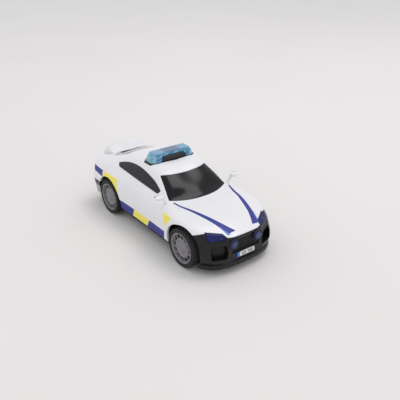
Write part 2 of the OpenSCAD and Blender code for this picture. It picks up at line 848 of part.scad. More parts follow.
module bar_base_block() {
    inner_x = 5.2 * kx;
    inner_y = bar_half - 7;
    difference() {
        translate([0, 0, bar_low])
            linear_extrude(bar_top - bar_low)
                polygon(bar_points());
        translate([bar_x - inner_x, -inner_y, bar_low - 1])
            cube([2 * inner_x, 2 * inner_y, bar_top - bar_low - 0.4]);
    }
}

module lens_form(inset) {
    lens_low = bar_top + 0.05;
    lens_top = bar_top + lens_height - inset;
    hull() {
        bar_outline(-0.8 - inset, lens_low - (inset > 0 ? 1 : 0), lens_low + 0.6);
        bar_outline(-1.4 - inset, lens_low, lens_low + lens_height * 0.45);
        translate([bar_x, 0, lens_top - 0.2])
            linear_extrude(0.2)
                square([6.8 * kx - 2 * inset, 2 * (bar_half - 4.2 - inset)], center = true);
    }
}

module panel_form(grow) {
    rise = lens_height * 0.6 + grow;
    low_half = 10.6 + grow;
    top_half = 8.8 + grow;
    translate([bar_x + 3.4 * kx - grow, 0, bar_top + 0.05])
        rotate([90, 0, 90])
            linear_extrude(3 * kx + 2 * grow)
                polygon([[-low_half, -grow], [low_half, -grow], [top_half, rise], [-top_half, rise]]);
}

module lightbar_lens() {
    color([0.33, 0.51, 0.64, 0.7])
        moulded()
            difference() {
                lens_form(0);
                lens_form(1);
                panel_form(0.25);
            }
}

module lightbar_panel() {
    color([0.08, 0.08, 0.09])
        panel_form(0);
}

module lightbar_board() {
    color([0.1, 0.35, 0.2])
        translate([bar_x - 3 * kx, 6 - bar_half, bar_top + 0.05])
            cube([5.4 * kx, 2 * (bar_half - 6), 0.8]);
}

module lightbar_leds() {
    color([0.85, 0.9, 1])
        for (y = [-10.5, -5, 5, 10.5])
            translate([bar_x - 0.6 * kx, y * (bar_half / 18.5), bar_top + 0.9])
                led(3);
}

module axle(x) {
    color([0.75, 0.76, 0.78])
        cross_rod([x, axle_z], axle_radius, 3.4 - tyre_out, tyre_out - 3.4);
}

module front_axle() {
    axle(front_x);
}

module rear_axle() {
    axle(rear_x);
}

// Turns a wheel piece drawn along +Z to face outward on one side
module at_wheel(x, side) {
    translate([x, side * tyre_in, axle_z])
        rotate([-90 * side, 0, 0])
            children();
}

module rim(x, side) {
    face = tyre_width - 3.6;
    color([0.6, 0.6, 0.62])
        at_wheel(x, side)
            difference() {
                rotate_extrude()
                    polygon([[0, 0.6], [3, 0.6], [3, face], [rim_radius - 1.3, face], [rim_radius - 1.3, 0.6],
                        [rim_radius, 0.6], [rim_radius, tyre_width - 0.2],
                        [rim_radius - 0.9, tyre_width - 0.2],
                        [rim_radius - 1.4, face + 1.7], [4, face + 1.9], [3.4, face + 2.4], [1.6, face + 2.8],
                        [0, face + 2.8]]);
                translate([0, 0, -1])
                    cylinder(r = axle_radius + 0.02, h = tyre_width - 2.2);
                for (i = [0:rim_holes - 1])
                    rotate(i * 360 / rim_holes)
                        translate([rim_radius * 0.75, 0, face - 1])
                            cylinder(r = 1.2 * rim_radius / rim_holes, h = tyre_width);
            }
}

module front_rim_left() {
    rim(front_x, 1);
}

module front_rim_right() {
    rim(front_x, -1);
}

module rear_rim_left() {
    rim(rear_x, 1);
}

module rear_rim_right() {
    rim(rear_x, -1);
}

module tyre(x, side) {
    low = rim_radius + 0.03;
    top = tyre_radius;
    w = tyre_width;
    color([0.07, 0.07, 0.07])
        at_wheel(x, side)
            rotate_extrude()
                polygon([[low, 0.8], [low + 0.8, 0.1], [top - 1.2, 0], [top - 0.35, 0.5], [top, 1.4],
                    [top, w - 1.4], [top - 0.35, w - 0.5], [top - 1.2, w], [low + 0.8, w - 0.1],
                    [low, w - 0.6]]);
}

module front_tyre_left() {
    tyre(front_x, 1);
}

module front_tyre_right() {
    tyre(front_x, -1);
}

module rear_tyre_left() {
    tyre(rear_x, 1);
}

module rear_tyre_right() {
    tyre(rear_x, -1);
}

// Toothed outline with one tooth at the given angle
module teeth(n, angle) {
    r = pitch(n);
    step = 360 / n;
    radii = [r - 1.25 * tooth_module, r, r + 0.8 * tooth_module, r + 0.8 * tooth_module, r,
        r - 1.25 * tooth_module];
    turns = [-0.29, -0.19, -0.09, 0.09, 0.19, 0.29];
    polygon([for (i = [0:n - 1], k = [0:5]) let (a = angle + (i + turns[k]) * step)
        radii[k] * [cos(a), sin(a)]]);
}

module gear(c, n, angle, y1, wide, bore) {
    translate([c[0], y1, c[1]])
        rotate([90, 0, 0])
            linear_extrude(wide)
                difference() {
                    teeth(n, angle);
                    circle(r = bore);
                }
}

module drive_gear() {
    color([0.9, 0.88, 0.8])
        gear(axle_centre, axle_teeth, middle_angle, first_y, gear_wide, axle_radius + 0.02);
}

module middle_gear() {
    color([0.9, 0.88, 0.8]) {
        gear(middle_centre, middle_pinion_teeth, middle_angle + 180 + 180 / middle_pinion_teeth,
            first_y + gear_gap, gear_wide + gear_gap, shaft_radius + 0.02);
        gear(middle_centre, middle_teeth, flywheel_angle, second_y, gear_wide, shaft_radius + 0.02);
    }
}

module gear_shaft(c) {
    color([0.75, 0.76, 0.78])
        cross_rod(c, shaft_radius, right_plate_y - plate_wall + 0.1, left_plate_y + plate_wall - 0.1);
}

module middle_shaft() {
    gear_shaft(middle_centre);
}

module flywheel_shaft() {
    gear_shaft(flywheel_centre);
}

module flywheel() {
    color([0.6, 0.6, 0.62])
        translate([flywheel_centre[0], flywheel_y + flywheel_wide, flywheel_centre[1]])
            rotate([90, 0, 0])
                rotate_extrude()
                    polygon([[shaft_radius + 0.02, 0], [flywheel_radius - 0.4, 0], [flywheel_radius, 0.4],
                        [flywheel_radius, flywheel_wide - 0.4], [flywheel_radius - 0.4, flywheel_wide],
                        [shaft_radius + 0.02, flywheel_wide]]);
}

module flywheel_pinion() {
    color([0.85, 0.75, 0.45])
        gear(flywheel_centre, flywheel_teeth, flywheel_angle + 180 + 180 / flywheel_teeth, second_y,
            gear_wide, shaft_radius + 0.02);
}

module motor_plate(y0) {
    difference() {
        translate([plate_low[0], y0, plate_low[1]])
            cube([plate_high[0] - plate_low[0], plate_wall, plate_high[1] - plate_low[1]]);
        cross_rod(axle_centre, axle_radius + running_gap, y0 - 1, y0 + plate_wall + 1);
        cross_rod(middle_centre, shaft_radius + running_gap, y0 - 1, y0 + plate_wall + 1);
        cross_rod(flywheel_centre, shaft_radius + running_gap, y0 - 1, y0 + plate_wall + 1);
    }
}

module motor_plate_right() {
    color([0.2, 0.3, 0.5]) {
        motor_plate(right_plate_y - plate_wall);
        for (p = posts)
            cross_rod(p, post_radius, right_plate_y - plate_wall / 2, left_plate_y);
    }
}

module motor_plate_left() {
    color([0.2, 0.3, 0.5])
        motor_plate(left_plate_y);
}

body_shell();
glazing();
front_bumper();
grille();
front_plate();
grille_lamp_left();
grille_lamp_right();
front_leds();
headlight_left();
headlight_right();
rear_bumper();
rear_plate();
tail_light_left();
tail_light_right();
mirror_left();
mirror_right();
spoiler();
dashboard();
chassis();
body_screws();
battery_cover();
battery_cover_screw();
battery_cells();
battery_contacts();
speaker();
circuit_board();
sound_chip();
board_screws();
switch_body();
switch_button();
lightbar_base();
lightbar_lens();
lightbar_panel();
lightbar_board();
lightbar_leds();
front_axle();
front_rim_left();
front_rim_right();
front_tyre_left();
front_tyre_right();
rear_axle();
rear_rim_left();
rear_rim_right();
rear_tyre_left();
rear_tyre_right();
drive_gear();
middle_gear();
middle_shaft();
flywheel();
flywheel_pinion();
flywheel_shaft();
motor_plate_right();
motor_plate_left();
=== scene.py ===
import math

import bmesh
import bpy
import numpy as np
from mathutils import Matrix, Vector


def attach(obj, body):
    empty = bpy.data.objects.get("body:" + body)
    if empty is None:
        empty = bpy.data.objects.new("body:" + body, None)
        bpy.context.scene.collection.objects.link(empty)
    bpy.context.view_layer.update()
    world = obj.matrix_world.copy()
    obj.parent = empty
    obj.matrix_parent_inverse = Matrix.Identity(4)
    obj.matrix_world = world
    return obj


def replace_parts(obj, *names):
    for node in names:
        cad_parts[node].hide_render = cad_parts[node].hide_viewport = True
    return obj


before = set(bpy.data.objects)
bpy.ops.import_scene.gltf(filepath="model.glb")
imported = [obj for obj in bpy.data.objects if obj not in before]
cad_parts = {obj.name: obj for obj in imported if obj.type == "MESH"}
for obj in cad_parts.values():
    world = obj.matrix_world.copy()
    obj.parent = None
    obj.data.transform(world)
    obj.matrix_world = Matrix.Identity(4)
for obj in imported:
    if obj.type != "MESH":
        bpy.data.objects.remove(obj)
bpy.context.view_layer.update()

# Chassis pan and battery cover
# The pan is one black ABS moulding with the bearings, wheel wells and screw bosses on it, and the
# cover is a plate of the same plastic. Both came from a spark-eroded mould, which leaves a dull grain.


def srgb(red, green, blue):
    """A colour given as 0 to 255 on a screen, in the shader's own numbers."""
    return tuple(((c / 255 + 0.055) / 1.055) ** 2.4 for c in (red, green, blue)) + (1.0,)


class Wire:
    """One output in a finish. Arithmetic on wires adds Math nodes, and node() adds any other node."""

    def __init__(self, tree, socket):
        self.tree = tree
        self.socket = socket

    def node(self, kind, settings, sockets, out=0):
        made = self.tree.nodes.new(kind)
        for name, value in settings.items():
            if name == "stops":
                ramp = made.color_ramp
                for place, _ in value[2:]:
                    ramp.elements.new(place)
                for element, (place, colour) in zip(ramp.elements, sorted(value)):
                    element.position = place
                    element.color = colour
            else:
                setattr(made, name, value)
        for name, value in sockets.items():
            if isinstance(value, Wire):
                self.tree.links.new(value.socket, made.inputs[name])
            else:
                made.inputs[name].default_value = value
        return Wire(self.tree, made.outputs[out])

    def output(self, name):
        return Wire(self.tree, self.socket.node.outputs[name])

    def feeds(self, socket):
        self.tree.links.new(self.socket, self.tree.nodes["Principled BSDF"].inputs[socket])

    def maths(self, operation, first, second=0.0):
        return self.node("ShaderNodeMath", {"operation": operation}, {0: first, 1: second})

    def sine(self):
        return self.maths("SINE", self)

    def __add__(self, other):
        return self.maths("ADD", self, other)

    def __radd__(self, other):
        return self.maths("ADD", other, self)

    def __sub__(self, other):
        return self.maths("SUBTRACT", self, other)

    def __rsub__(self, other):
        return self.maths("SUBTRACT", other, self)

    def __mul__(self, other):
        return self.maths("MULTIPLY", self, other)

    def __rmul__(self, other):
        return self.maths("MULTIPLY", other, self)

    def __abs__(self):
        return self.maths("ABSOLUTE", self)

    def __and__(self, other):
        return self.maths("MINIMUM", self, other)

    def __or__(self, other):
        return self.maths("MAXIMUM", self, other)

    def above(self, edge, soft):
        """1 where this is over the edge, 0 where it is under, with a soft step between."""
        return self.node("ShaderNodeMapRange", {"interpolation_type": "SMOOTHSTEP"},
                         {"Value": self, "From Min": edge - soft, "From Max": edge + soft})

    def choose(self, low, high):
        """Low where this is 0 and high where it is 1, for colours."""
        return self.node("ShaderNodeMix", {"data_type": "RGBA"}, {0: self, 6: low, 7: high}, out=2)

    def noise(self, size, detail=2.0):
        """Cloudy noise on this place, with blotches of about that size in mm."""
        return self.node("ShaderNodeTexNoise", {}, {"Vector": self, "Scale": 1 / size, "Detail": detail})

    def stretched(self, x, y, z):
        return self.node("ShaderNodeVectorMath", {"operation": "MULTIPLY"}, {0: self, 1: (x, y, z)})

    def parts(self):
        made = self.node("ShaderNodeSeparateXYZ", {}, {"Vector": self})
        return made, made.output("Y"), made.output("Z")

    def raise_surface(self, height, edge=0.0):
        """Bumps the surface by this, up to a height in mm, over edges rounded to a radius in mm."""
        sockets = {"Distance": height * 0.001, "Height": self}
        if edge:
            sockets["Normal"] = self.node("ShaderNodeBevel", {"samples": 6}, {"Radius": edge * 0.001})
        self.node("ShaderNodeBump", {}, sockets).feeds("Normal")


def finish(name, **fixed):
    """A new material with its fixed sockets set, and the place on the piece in mm."""
    material = bpy.data.materials.new(name)
    material.use_nodes = True
    tree = material.node_tree
    for socket, value in fixed.items():
        tree.nodes["Principled BSDF"].inputs[socket.replace("_", " ")].default_value = value
    here = Wire(tree, tree.nodes.new("ShaderNodeTexCoord").outputs["Object"])
    return material, here.node("ShaderNodeVectorMath", {"operation": "SCALE"}, {0: here, "Scale": 1000.0})


def moulded_plastic(name, colour, rough, grain, lift, edge=0.0, **fixed):
    """Plain moulded plastic: cloudy in tone and gloss, with a mould grain of one size and lift in mm."""
    material, place = finish(name, **fixed)
    cloud = place.noise(14.0)
    paler = tuple(min(1.0, c * 1.25 + 0.004) for c in colour[:3]) + (1.0,)
    darker = tuple(c * 0.86 for c in colour[:3]) + (1.0,)
    cloud.choose(darker, paler).feeds("Base Color")
    fine = place.noise(grain, 3.0)
    (rough - 0.07 + 0.09 * cloud + 0.06 * fine).feeds("Roughness")
    fine.raise_surface(lift, edge)
    return material


def dress(material, *nodes):
    """Gives CAD nodes that keep their shape a better finish."""
    for node in nodes:
        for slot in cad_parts[node].material_slots:
            slot.material = material


pan_plastic = moulded_plastic("pan_plastic", srgb(34, 34, 36), 0.5, 0.35, 0.03, 0.2)
dress(pan_plastic, "chassis", "battery_cover")

# Screws and axles
# The self-tapping screws and the axles are zinc-plated steel wire. Drawing leaves fine lines along
# them, and the plating is dull where it was handled.
wire_steel, place = finish("wire_steel", Metallic=1.0)
lines = place.stretched(1.0, 0.08, 0.4).noise(0.12, 4.0)
dull = place.noise(5.0)
dull.choose(srgb(196, 196, 198), srgb(166, 165, 162)).feeds("Base Color")
(0.22 + 0.18 * dull + 0.1 * lines).feeds("Roughness")
lines.raise_surface(0.01)
dress(wire_steel, "body_screws", "battery_cover_screw", "board_screws", "front_axle", "rear_axle",
      "middle_shaft", "flywheel_shaft")

# Cells and contacts
# Three button cells stand on edge in the bay between two sprung strips of nickel-plated brass.
# The cans are drawn steel with rings from the press tool.
cell_height = 13.0
cell_can, place = finish("cell_can", Metallic=1.0)
x, y, z = place.parts()
rise = z - cell_height
rings = ((rise * rise + y * y) * 0.9).sine()
smear = place.noise(3.0)
smear.choose(srgb(206, 206, 204), srgb(178, 177, 172)).feeds("Base Color")
(0.2 + 0.15 * smear).feeds("Roughness")
rings.raise_surface(0.01)
strip_brass, place = finish("strip_brass", Metallic=1.0)
tarnish = place.noise(2.0, 4.0)
tarnish.choose(srgb(205, 196, 170), srgb(170, 150, 110)).feeds("Base Color")
(0.25 + 0.25 * tarnish).feeds("Roughness")
tarnish.raise_surface(0.01)
dress(cell_can, "battery_cells")
dress(strip_brass, "battery_contacts")

# Loudspeaker
# A pressed steel basket, lacquered dark grey, with the magnet pot in its middle. It lies over seven
# sound holes in the chassis floor, between three pegs.
basket, place = finish("basket", Coat_Weight=0.2)
fleck = place.noise(0.5, 3.0)
fleck.choose(srgb(62, 62, 65), srgb(82, 82, 84)).feeds("Base Color")
(0.4 + 0.2 * fleck).feeds("Roughness")
(0.4 + 0.3 * fleck).feeds("Metallic")
fleck.raise_surface(0.02)
dress(basket, "speaker")

# Circuit board, sound chip and switch
# Green lacquer over copper tracks that run along the board, a blob of black resin over the chip,
# and a push switch with its button in dark plastic.
board_lacquer, place = finish("board_lacquer", Coat_Weight=0.3)
x, y, z = place.parts()
wander = place.noise(6.0)
lane = (y * 2.6 + wander * 5.0).sine()
track = lane.above(0.45, 0.12)
track.choose(srgb(18, 70, 44), srgb(48, 120, 72)).feeds("Base Color")
(0.25 + 0.12 * place.noise(0.6)).feeds("Roughness")
track.raise_surface(0.03)
resin = moulded_plastic("resin", srgb(18, 18, 19), 0.22, 0.8, 0.05)
switch_plastic = moulded_plastic("switch_plastic", srgb(48, 48, 50), 0.45, 0.3, 0.02, 0.15)
dress(board_lacquer, "circuit_board")
dress(resin, "sound_chip")
dress(switch_plastic, "switch_body", "switch_button")

# Friction drive
# Nylon gears and a turned steel flywheel run between two blue plates. The nylon is milky and
# takes a dusting of grease on its teeth.
nylon, place = finish("nylon", Subsurface_Weight=0.15, Subsurface_Radius=(0.002, 0.002, 0.0015))
grease = place.noise(1.6, 3.0)
grease.choose(srgb(234, 229, 214), srgb(214, 205, 180)).feeds("Base Color")
(0.5 - 0.25 * grease).feeds("Roughness")
grease.raise_surface(0.02)
flywheel_x, flywheel_height = -29.65, 19.3
turned_steel, place = finish("turned_steel", Metallic=1.0)
x, y, z = place.parts()
along, rise = x - flywheel_x, z - flywheel_height
cut_lines = ((along * along + rise * rise) * 1.2).sine()
(0.5 + 0.5 * cut_lines).choose(srgb(168, 168, 171), srgb(188, 188, 190)).feeds("Base Color")
(0.3 + 0.06 * cut_lines).feeds("Roughness")
cut_lines.raise_surface(0.01)
pinion_brass, place = finish("pinion_brass", Metallic=1.0)
patina = place.noise(1.2, 3.0)
patina.choose(srgb(212, 182, 112), srgb(178, 146, 84)).feeds("Base Color")
(0.25 + 0.2 * patina).feeds("Roughness")
patina.raise_surface(0.01)
drive_plastic = moulded_plastic("drive_plastic", srgb(52, 74, 122), 0.42, 0.4, 0.02, 0.2)
dress(nylon, "drive_gear", "middle_gear")
dress(turned_steel, "flywheel")
dress(pinion_brass, "flywheel_pinion")
dress(drive_plastic, "motor_plate_right", "motor_plate_left")

# Dashboard
# A bench moulding of dark grey ABS across the cabin, on two posts of the chassis under the
# windscreen. The dark glazing hides it.
bench_plastic = moulded_plastic("bench_plastic", srgb(74, 72, 70), 0.6, 0.5, 0.05, 0.3)
dress(bench_plastic, "dashboard")

# Tyres
# Soft black rubber, pressed in a two-part mould: two straight grooves, a row of cross slots on each
# shoulder and fine rings on the wall. Each tyre is stretched over its rim.
mm = 0.001
axle_height = 13.4
tyre_inside = 23.3
wheel_places = {"front": 48.5, "rear": -43.9}
hands = {"left": 1, "right": -1}


def new_piece(name, work):
    """A new object from a mesh that is being worked on, which is used up."""
    mesh = bpy.data.meshes.new(name)
    work.to_mesh(mesh)
    work.free()
    piece = bpy.data.objects.new(name, mesh)
    bpy.context.scene.collection.objects.link(piece)
    return piece


def mesh_piece(name, points, faces):
    """A new object from points in mm, with its faces turned outward."""
    work = bmesh.new()
    made = [work.verts.new(Vector(p) * mm) for p in points]
    for face in faces:
        work.faces.new([made[i] for i in face])
    bmesh.ops.recalc_face_normals(work, faces=work.faces)
    return new_piece(name, work)


def settle(piece, material, body, nodes=(), crease=32.0):
    """Finishes a piece: smooth shading up to a crease angle, its material, its body and what it replaces."""
    piece.data.materials.clear()
    piece.data.materials.append(material)
    piece.data.shade_smooth()
    piece.data.set_sharp_from_angle(angle=math.radians(crease))
    piece.modifiers.new("evened", "WEIGHTED_NORMAL").keep_sharp = True
    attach(piece, body)
    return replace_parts(piece, *nodes)


def turned(name, rings, turns, closed, place):
    """A piece made of rings about one axis. rings(turn) gives (radius, along) points for each turn in
    radians, and place(radius, turn, along) the point in mm."""
    columns = [[place(r, turn, a) for r, a in rings(turn)] for turn in turns]
    high = len(columns[0])
    points = [p for column in columns for p in column]
    faces = []
    for i in range(len(turns)):
        following = (i + 1) % len(turns)
        for j in range(high if closed else high - 1):
            up = (j + 1) % high
            faces.append((i * high + j, following * high + j, following * high + up, i * high + up))
    if not closed:
        faces.append([i * high for i in range(len(turns))])
        faces.append([i * high + high - 1 for i in range(len(turns))])
    return mesh_piece(name, points, faces)


def on_wheel(axle_x, side):
    """Puts (radius, turn, along) on one wheel; along runs outward from the tyre's inner wall."""
    return lambda r, turn, along: (axle_x + r * math.cos(turn), side * (tyre_inside + along),
                                   axle_height + r * math.sin(turn))


wall_half = [(10.45, 0.86), (10.7, 0.5), (11.05, 0.22), (11.5, 0.06), (11.75, 0.06), (11.8, 0.14),
             (11.95, 0.14), (12.0, 0.03), (12.3, 0.0), (12.62, 0.1), (12.9, 0.32), (13.12, 0.6), (13.3, 0.98),
             (13.4, 1.45)]
tread_half = [(13.4, 2.75), (13.34, 2.86), (12.95, 2.95), (12.95, 3.4), (13.34, 3.49), (13.4, 3.6)]
tyre_wide = 9.5
slots = 52
slot_deep = 0.55
slot_steps = [(0.0, 0.0), (0.1, 1.0), (0.34, 1.0), (0.44, 0.0), (0.72, 0.0)]
shoulder_radius, shoulder_wide = 12.85, 2.6
tyre_turns = [(i + part) * 2 * math.pi / slots for i in range(slots) for part, _ in slot_steps]


def tyre_rings(turn):
    """The tyre's profile at one turn, cut in on the shoulders where a slot is."""
    part = turn * slots / (2 * math.pi)
    part = part - math.floor(part + 1e-6)
    deep = next(d for p, d in slot_steps if abs(p - part) < 1e-4)
    half = []
    for r, along in wall_half + tread_half:
        on_shoulder = r > shoulder_radius and along < shoulder_wide
        shoulder = min(1.0, max(0.0, (along - 0.25) / 0.5)) if on_shoulder else 0.0
        half.append((r - slot_deep * deep * shoulder * min(1.0, (r - 12.7) / 0.6), along))
    return half + [(r, tyre_wide - along) for r, along in reversed(half)]


rubber, place = finish("rubber", Specular_IOR_Level=0.35)
dust = place.noise(3.5, 4.0)
speck = place.noise(0.25, 2.0)
dust.choose(srgb(29, 28, 29), srgb(50, 48, 49)).feeds("Base Color")
(0.62 + 0.2 * dust - 0.08 * speck).feeds("Roughness")
speck.raise_surface(0.03)
for axle, axle_x in wheel_places.items():
    for hand, side in hands.items():
        tyre = turned(f"{axle}_{hand}_tread_tyre", tyre_rings, tyre_turns, True, on_wheel(axle_x, side))
        settle(tyre, rubber, f"{axle}_wheels", [f"{axle}_tyre_{hand}"], 38.0)

# Rims
# Grey ABS rims in the form of a pressed disc wheel: a rolled lip, a stepped bead, twelve oval holes
# and a raised hub with a cap. The silver-grey is in the plastic, with a slight metallic fleck.
hole_count = 12
hole_at = 7.75
hole_half_out, hole_half_round, hole_deep = 1.14, 1.6, 3.4
hole_band = (6.3, 9.0)
dimple_count, dimple_deep = 5, 0.22
dimple_band = (3.3, 5.6)
rim_steps = 240
rim_turns = [i * 2 * math.pi / rim_steps for i in range(rim_steps)]
face_rows = 30
dish = [(0.01, 9.0), (0.9, 8.98), (1.3, 8.9), (1.5, 8.55), (1.9, 8.35), (2.5, 8.3), (2.9, 8.2), (3.2, 7.8),
        (3.6, 7.55), (4.2, 7.5), (4.8, 7.62), (5.3, 7.85), (5.7, 8.05), (6.1, 8.16), (6.4, 8.2), (6.6, 8.21),
        (6.8, 8.21), (6.95, 8.2), (7.1, 8.2), (7.3, 8.18), (7.5, 8.16), (7.75, 8.12), (8.0, 8.08),
        (8.2, 8.04), (8.35, 8.0), (8.5, 7.95), (8.65, 7.88), (8.85, 7.8), (9.05, 7.78), (9.1, 8.25),
        (9.3, 8.3), (9.4, 8.32), (9.45, 8.8), (9.6, 9.12), (9.85, 9.3), (10.15, 9.3), (10.35, 9.15),
        (10.4, 8.9), (10.4, 0.7), (9.1, 0.6), (9.1, 5.4), (3.0, 5.4), (3.0, 0.7), (0.01, 0.6)]


def rim_rings(turn):
    """The rim's profile at one turn, with its face sunk at the holes and in dimples round the hub."""
    step = 2 * math.pi / hole_count
    off = (turn + step / 2) % step - step / 2
    dimple = max(0.0, math.cos(dimple_count * turn)) ** 3
    rows = []
    for i, (r, along) in enumerate(dish):
        if i < face_rows and hole_band[0] < r < hole_band[1]:
            oval = math.hypot((r - hole_at) / hole_half_out, off * hole_at / hole_half_round)
            along -= hole_deep * min(1.0, max(0.0, (1.12 - oval) / 0.24))
        if i < face_rows and dimple_band[0] < r < dimple_band[1]:
            share = (r - dimple_band[0]) / (dimple_band[1] - dimple_band[0])
            along -= dimple_deep * dimple * math.sin(share * math.pi)
        rows.append((r, along))
    return rows


rim_plastic, place = finish("rim_plastic", Specular_IOR_Level=0.55)
x, y, z = place.parts()
fleck = place.noise(0.18, 2.0)
cloud = place.noise(7.0, 3.0)
silver = (0.35 * fleck + 0.65 * cloud).choose(srgb(118, 116, 121), srgb(152, 149, 154))
# Everything deeper than 7.15 mm out from the tyre's inner wall, the hole floors among it, is painted
# near-black as shade; the rest is the plastic's silver-grey.
painted_hole_shade = tyre_inside + 7.15
abs(y).above(painted_hole_shade, 0.3).choose(srgb(24, 23, 25), silver).feeds("Base Color")
(0.36 + 0.14 * cloud).feeds("Roughness")
(0.12 + 0.25 * fleck).feeds("Metallic")
fleck.raise_surface(0.012, 0.15)
for axle, axle_x in wheel_places.items():
    for hand, side in hands.items():
        rim = turned(f"{axle}_{hand}_disc_rim", rim_rings, rim_turns, False, on_wheel(axle_x, side))
        settle(rim, rim_plastic, f"{axle}_wheels", [f"{axle}_rim_{hand}"], 40.0)

# Body shell
# White ABS, injection moulded in one piece and screwed to the chassis, with openings for the glazing,
# lamps, wheels and light bar. The blue and yellow blocks and stripes are pad printed, and a little duller.
lines_of_body = [
    [[-74.5, 26.3, 8], [-70, 28.8, 8], [-60, 30.8, 10], [-52, 31, 10.5], [-30, 31, 10.5], [0, 30.8, 10.5],
     [30, 31.2, 10.5], [50, 31.6, 8], [60, 28.9, 5], [66, 25, 4.2], [71, 18, 4], [73.5, 12.6, 4]],
    [[-74.5, 28, 22], [-70, 30.6, 21], [-60, 32, 20], [-44, 33, 20], [-20, 31.8, 19], [5, 31.6, 19],
     [30, 32.2, 19], [48, 33, 19], [58, 31.9, 17], [64, 29.9, 15], [68.5, 26.7, 13], [72, 21.4, 12.4],
     [73.5, 16.4, 12.4]],
    [[-74.5, 26.5, 30.5], [-70, 28.8, 31.3], [-60, 30.6, 31.8], [-44, 31.4, 31.8], [-20, 30.8, 31.2],
     [5, 30.6, 31], [30, 31, 30.8], [46, 31, 30.6], [58, 28.5, 28.2], [64, 24, 26.8], [69, 18, 25.6],
     [73.5, 11.5, 24.3]],
    [[-74.5, 22, 34.5], [-66, 24, 35.6], [-55, 25.2, 37.5], [-42, 25.6, 38.2], [-20, 26, 37.2], [5, 26, 36.2],
     [16, 26.2, 35.3], [26, 26.5, 33.6], [38, 26, 32.6], [50, 24.4, 31.6], [60, 21, 29.2], [67, 16.5, 27],
     [73.5, 10, 25]],
    [[-74.5, 16, 36.2], [-68, 17, 37], [-60, 17.4, 38.4], [-48, 16.6, 42.4], [-30, 18.8, 46.4],
     [-12, 19.4, 48], [0, 19.6, 47.1], [6.5, 20, 44.7], [16, 22.6, 39.2], [25, 24, 34.2], [30, 23.5, 33.2],
     [45, 19.5, 32.4], [60, 15, 29.8], [73.5, 7.5, 25.4]],
    [[-74.5, 0, 37.4], [-70, 0, 37.6], [-63, 0, 38.2], [-52, 0, 43.2], [-40, 0, 46.8], [-22, 0, 49.2],
     [-8, 0, 49.8], [3, 0, 48.4], [14, 0, 43.4], [24, 0, 38.2], [30.5, 0, 34.6], [33, 0, 34],
     [45, 0, 33.2], [60, 0, 30.4], [73.5, 0, 25.7]]]
tail_end, nose_end = -74.5, 73.5
half_long = 75
coarse_places = [tail_end, -72, -69.5, *range(-66, 55, 5), 57.5, 60, 62, 64, 66, 67.8, 69.4, 70.8, 72.2,
                 nose_end]
fine_places = [*np.arange(tail_end, 57.0, 1.0), *np.arange(57.5, nose_end - 0.1, 0.5), nose_end]
coarse_steps, fine_steps = 3, 14
below, far = -9.0, 90.0


def through(knots, at):
    """The smooth line through knots, at some values of their first number."""
    k = np.array(knots, float)
    wide = np.diff(k[:, 0])
    rate = np.diff(k, axis=0) / wide[:, None]
    slope = np.empty_like(k)
    slope[0], slope[-1] = rate[0], rate[-1]
    slope[1:-1] = (rate[:-1] * wide[1:, None] + rate[1:] * wide[:-1, None]) / (wide[:-1] + wide[1:])[:, None]
    i = np.clip(np.searchsorted(k[:, 0], at, side="right") - 1, 0, len(wide) - 1)
    g = wide[i][:, None]
    t = ((at - k[i, 0])[:, None]) / g
    u = 1 - t
    return ((1 + 2 * t) * u * u * k[i] + t * u * u * g * slope[i]
            + t * t * (3 - 2 * t) * k[i + 1] - t * t * u * g * slope[i + 1])


def half_sections(places, steps):
    """Points (y, z) from the sill to the crown at each place along the body."""
    lines = np.stack([through(k, np.array(places, float))[:, 1:] for k in lines_of_body], 1)
    rows = []
    for c in lines:
        e = np.vstack([c, [-c[4][0], c[4][1]]])
        run = np.concatenate([[0.0], np.cumsum(np.linalg.norm(np.diff(e, axis=0), axis=1))])
        at = np.concatenate([np.linspace(run[i], run[i + 1], steps, endpoint=False) for i in range(5)])
        rows.append(np.vstack([through(np.column_stack([run, e]), at)[:, 1:], c[5]]))
    return np.array(rows)


def skinned(name, rings):
    """A solid through rings that have the same number of points, closed at both ends."""
    n = len(rings[0])
    faces = [(i * n + j, i * n + (j + 1) % n, (i + 1) * n + (j + 1) % n, (i + 1) * n + j)
             for i in range(len(rings) - 1) for j in range(n)]
    faces += [range(n), range((len(rings) - 1) * n, len(rings) * n)]
    return mesh_piece(name, [p for ring in rings for p in ring], faces)


def body_form(name, depth, fine=True, deep=True, rounding=0.0, dent=None):
    """A solid of the body form, moved in by a depth. A deep one runs on down through the open underside,
    rounding softens the tail and nose, and dent(x, y, z) moves points in further."""
    places = np.array(fine_places if fine else coarse_places, float)
    depths = np.full(len(places), float(depth))
    if rounding:
        arc = np.radians(np.array([0.0, 25.0, 50.0, 70.0]))
        ends = rounding * (1 - np.cos(arc))
        extra = depth + rounding * (1 - np.sin(arc))
        inner = places[(places > tail_end + rounding) & (places < nose_end - rounding)]
        places = np.concatenate([tail_end + ends, inner, (nose_end - ends)[::-1]])
        depths = np.concatenate([extra, np.full(len(inner), float(depth)), extra[::-1]])
    rows = half_sections(places, fine_steps if fine else coarse_steps)
    before = np.concatenate([rows[:, :1], rows[:, :-1]], 1)
    after = np.concatenate([rows[:, 1:], rows[:, -2:-1] * [-1, 1]], 1)
    along = after - before
    along /= np.linalg.norm(along, axis=2, keepdims=True)
    move = np.repeat(depths[:, None], rows.shape[1], 1)
    if dent:
        move = move + dent(np.repeat(places[:, None], rows.shape[1], 1), rows[:, :, 0], rows[:, :, 1])
    rows = rows - move[:, :, None] * np.stack([along[:, :, 1], -along[:, :, 0]], 2)
    rings = []
    for place, row in zip(places * (1 - depth / half_long), rows):
        ring = [(place, -y, z) for y, z in row] + [(place, y, z) for y, z in row[-2::-1]]
        if deep:
            ring = [(place, ring[0][1], below)] + ring + [(place, ring[-1][1], below)]
        rings.append(ring)
    return skinned(name, rings)


def area_of(outline):
    """The outline's area, which is under 0 where it runs clockwise."""
    return sum(a[0] * b[1] - b[0] * a[1] for a, b in zip(outline, outline[1:] + outline[:1])) / 2


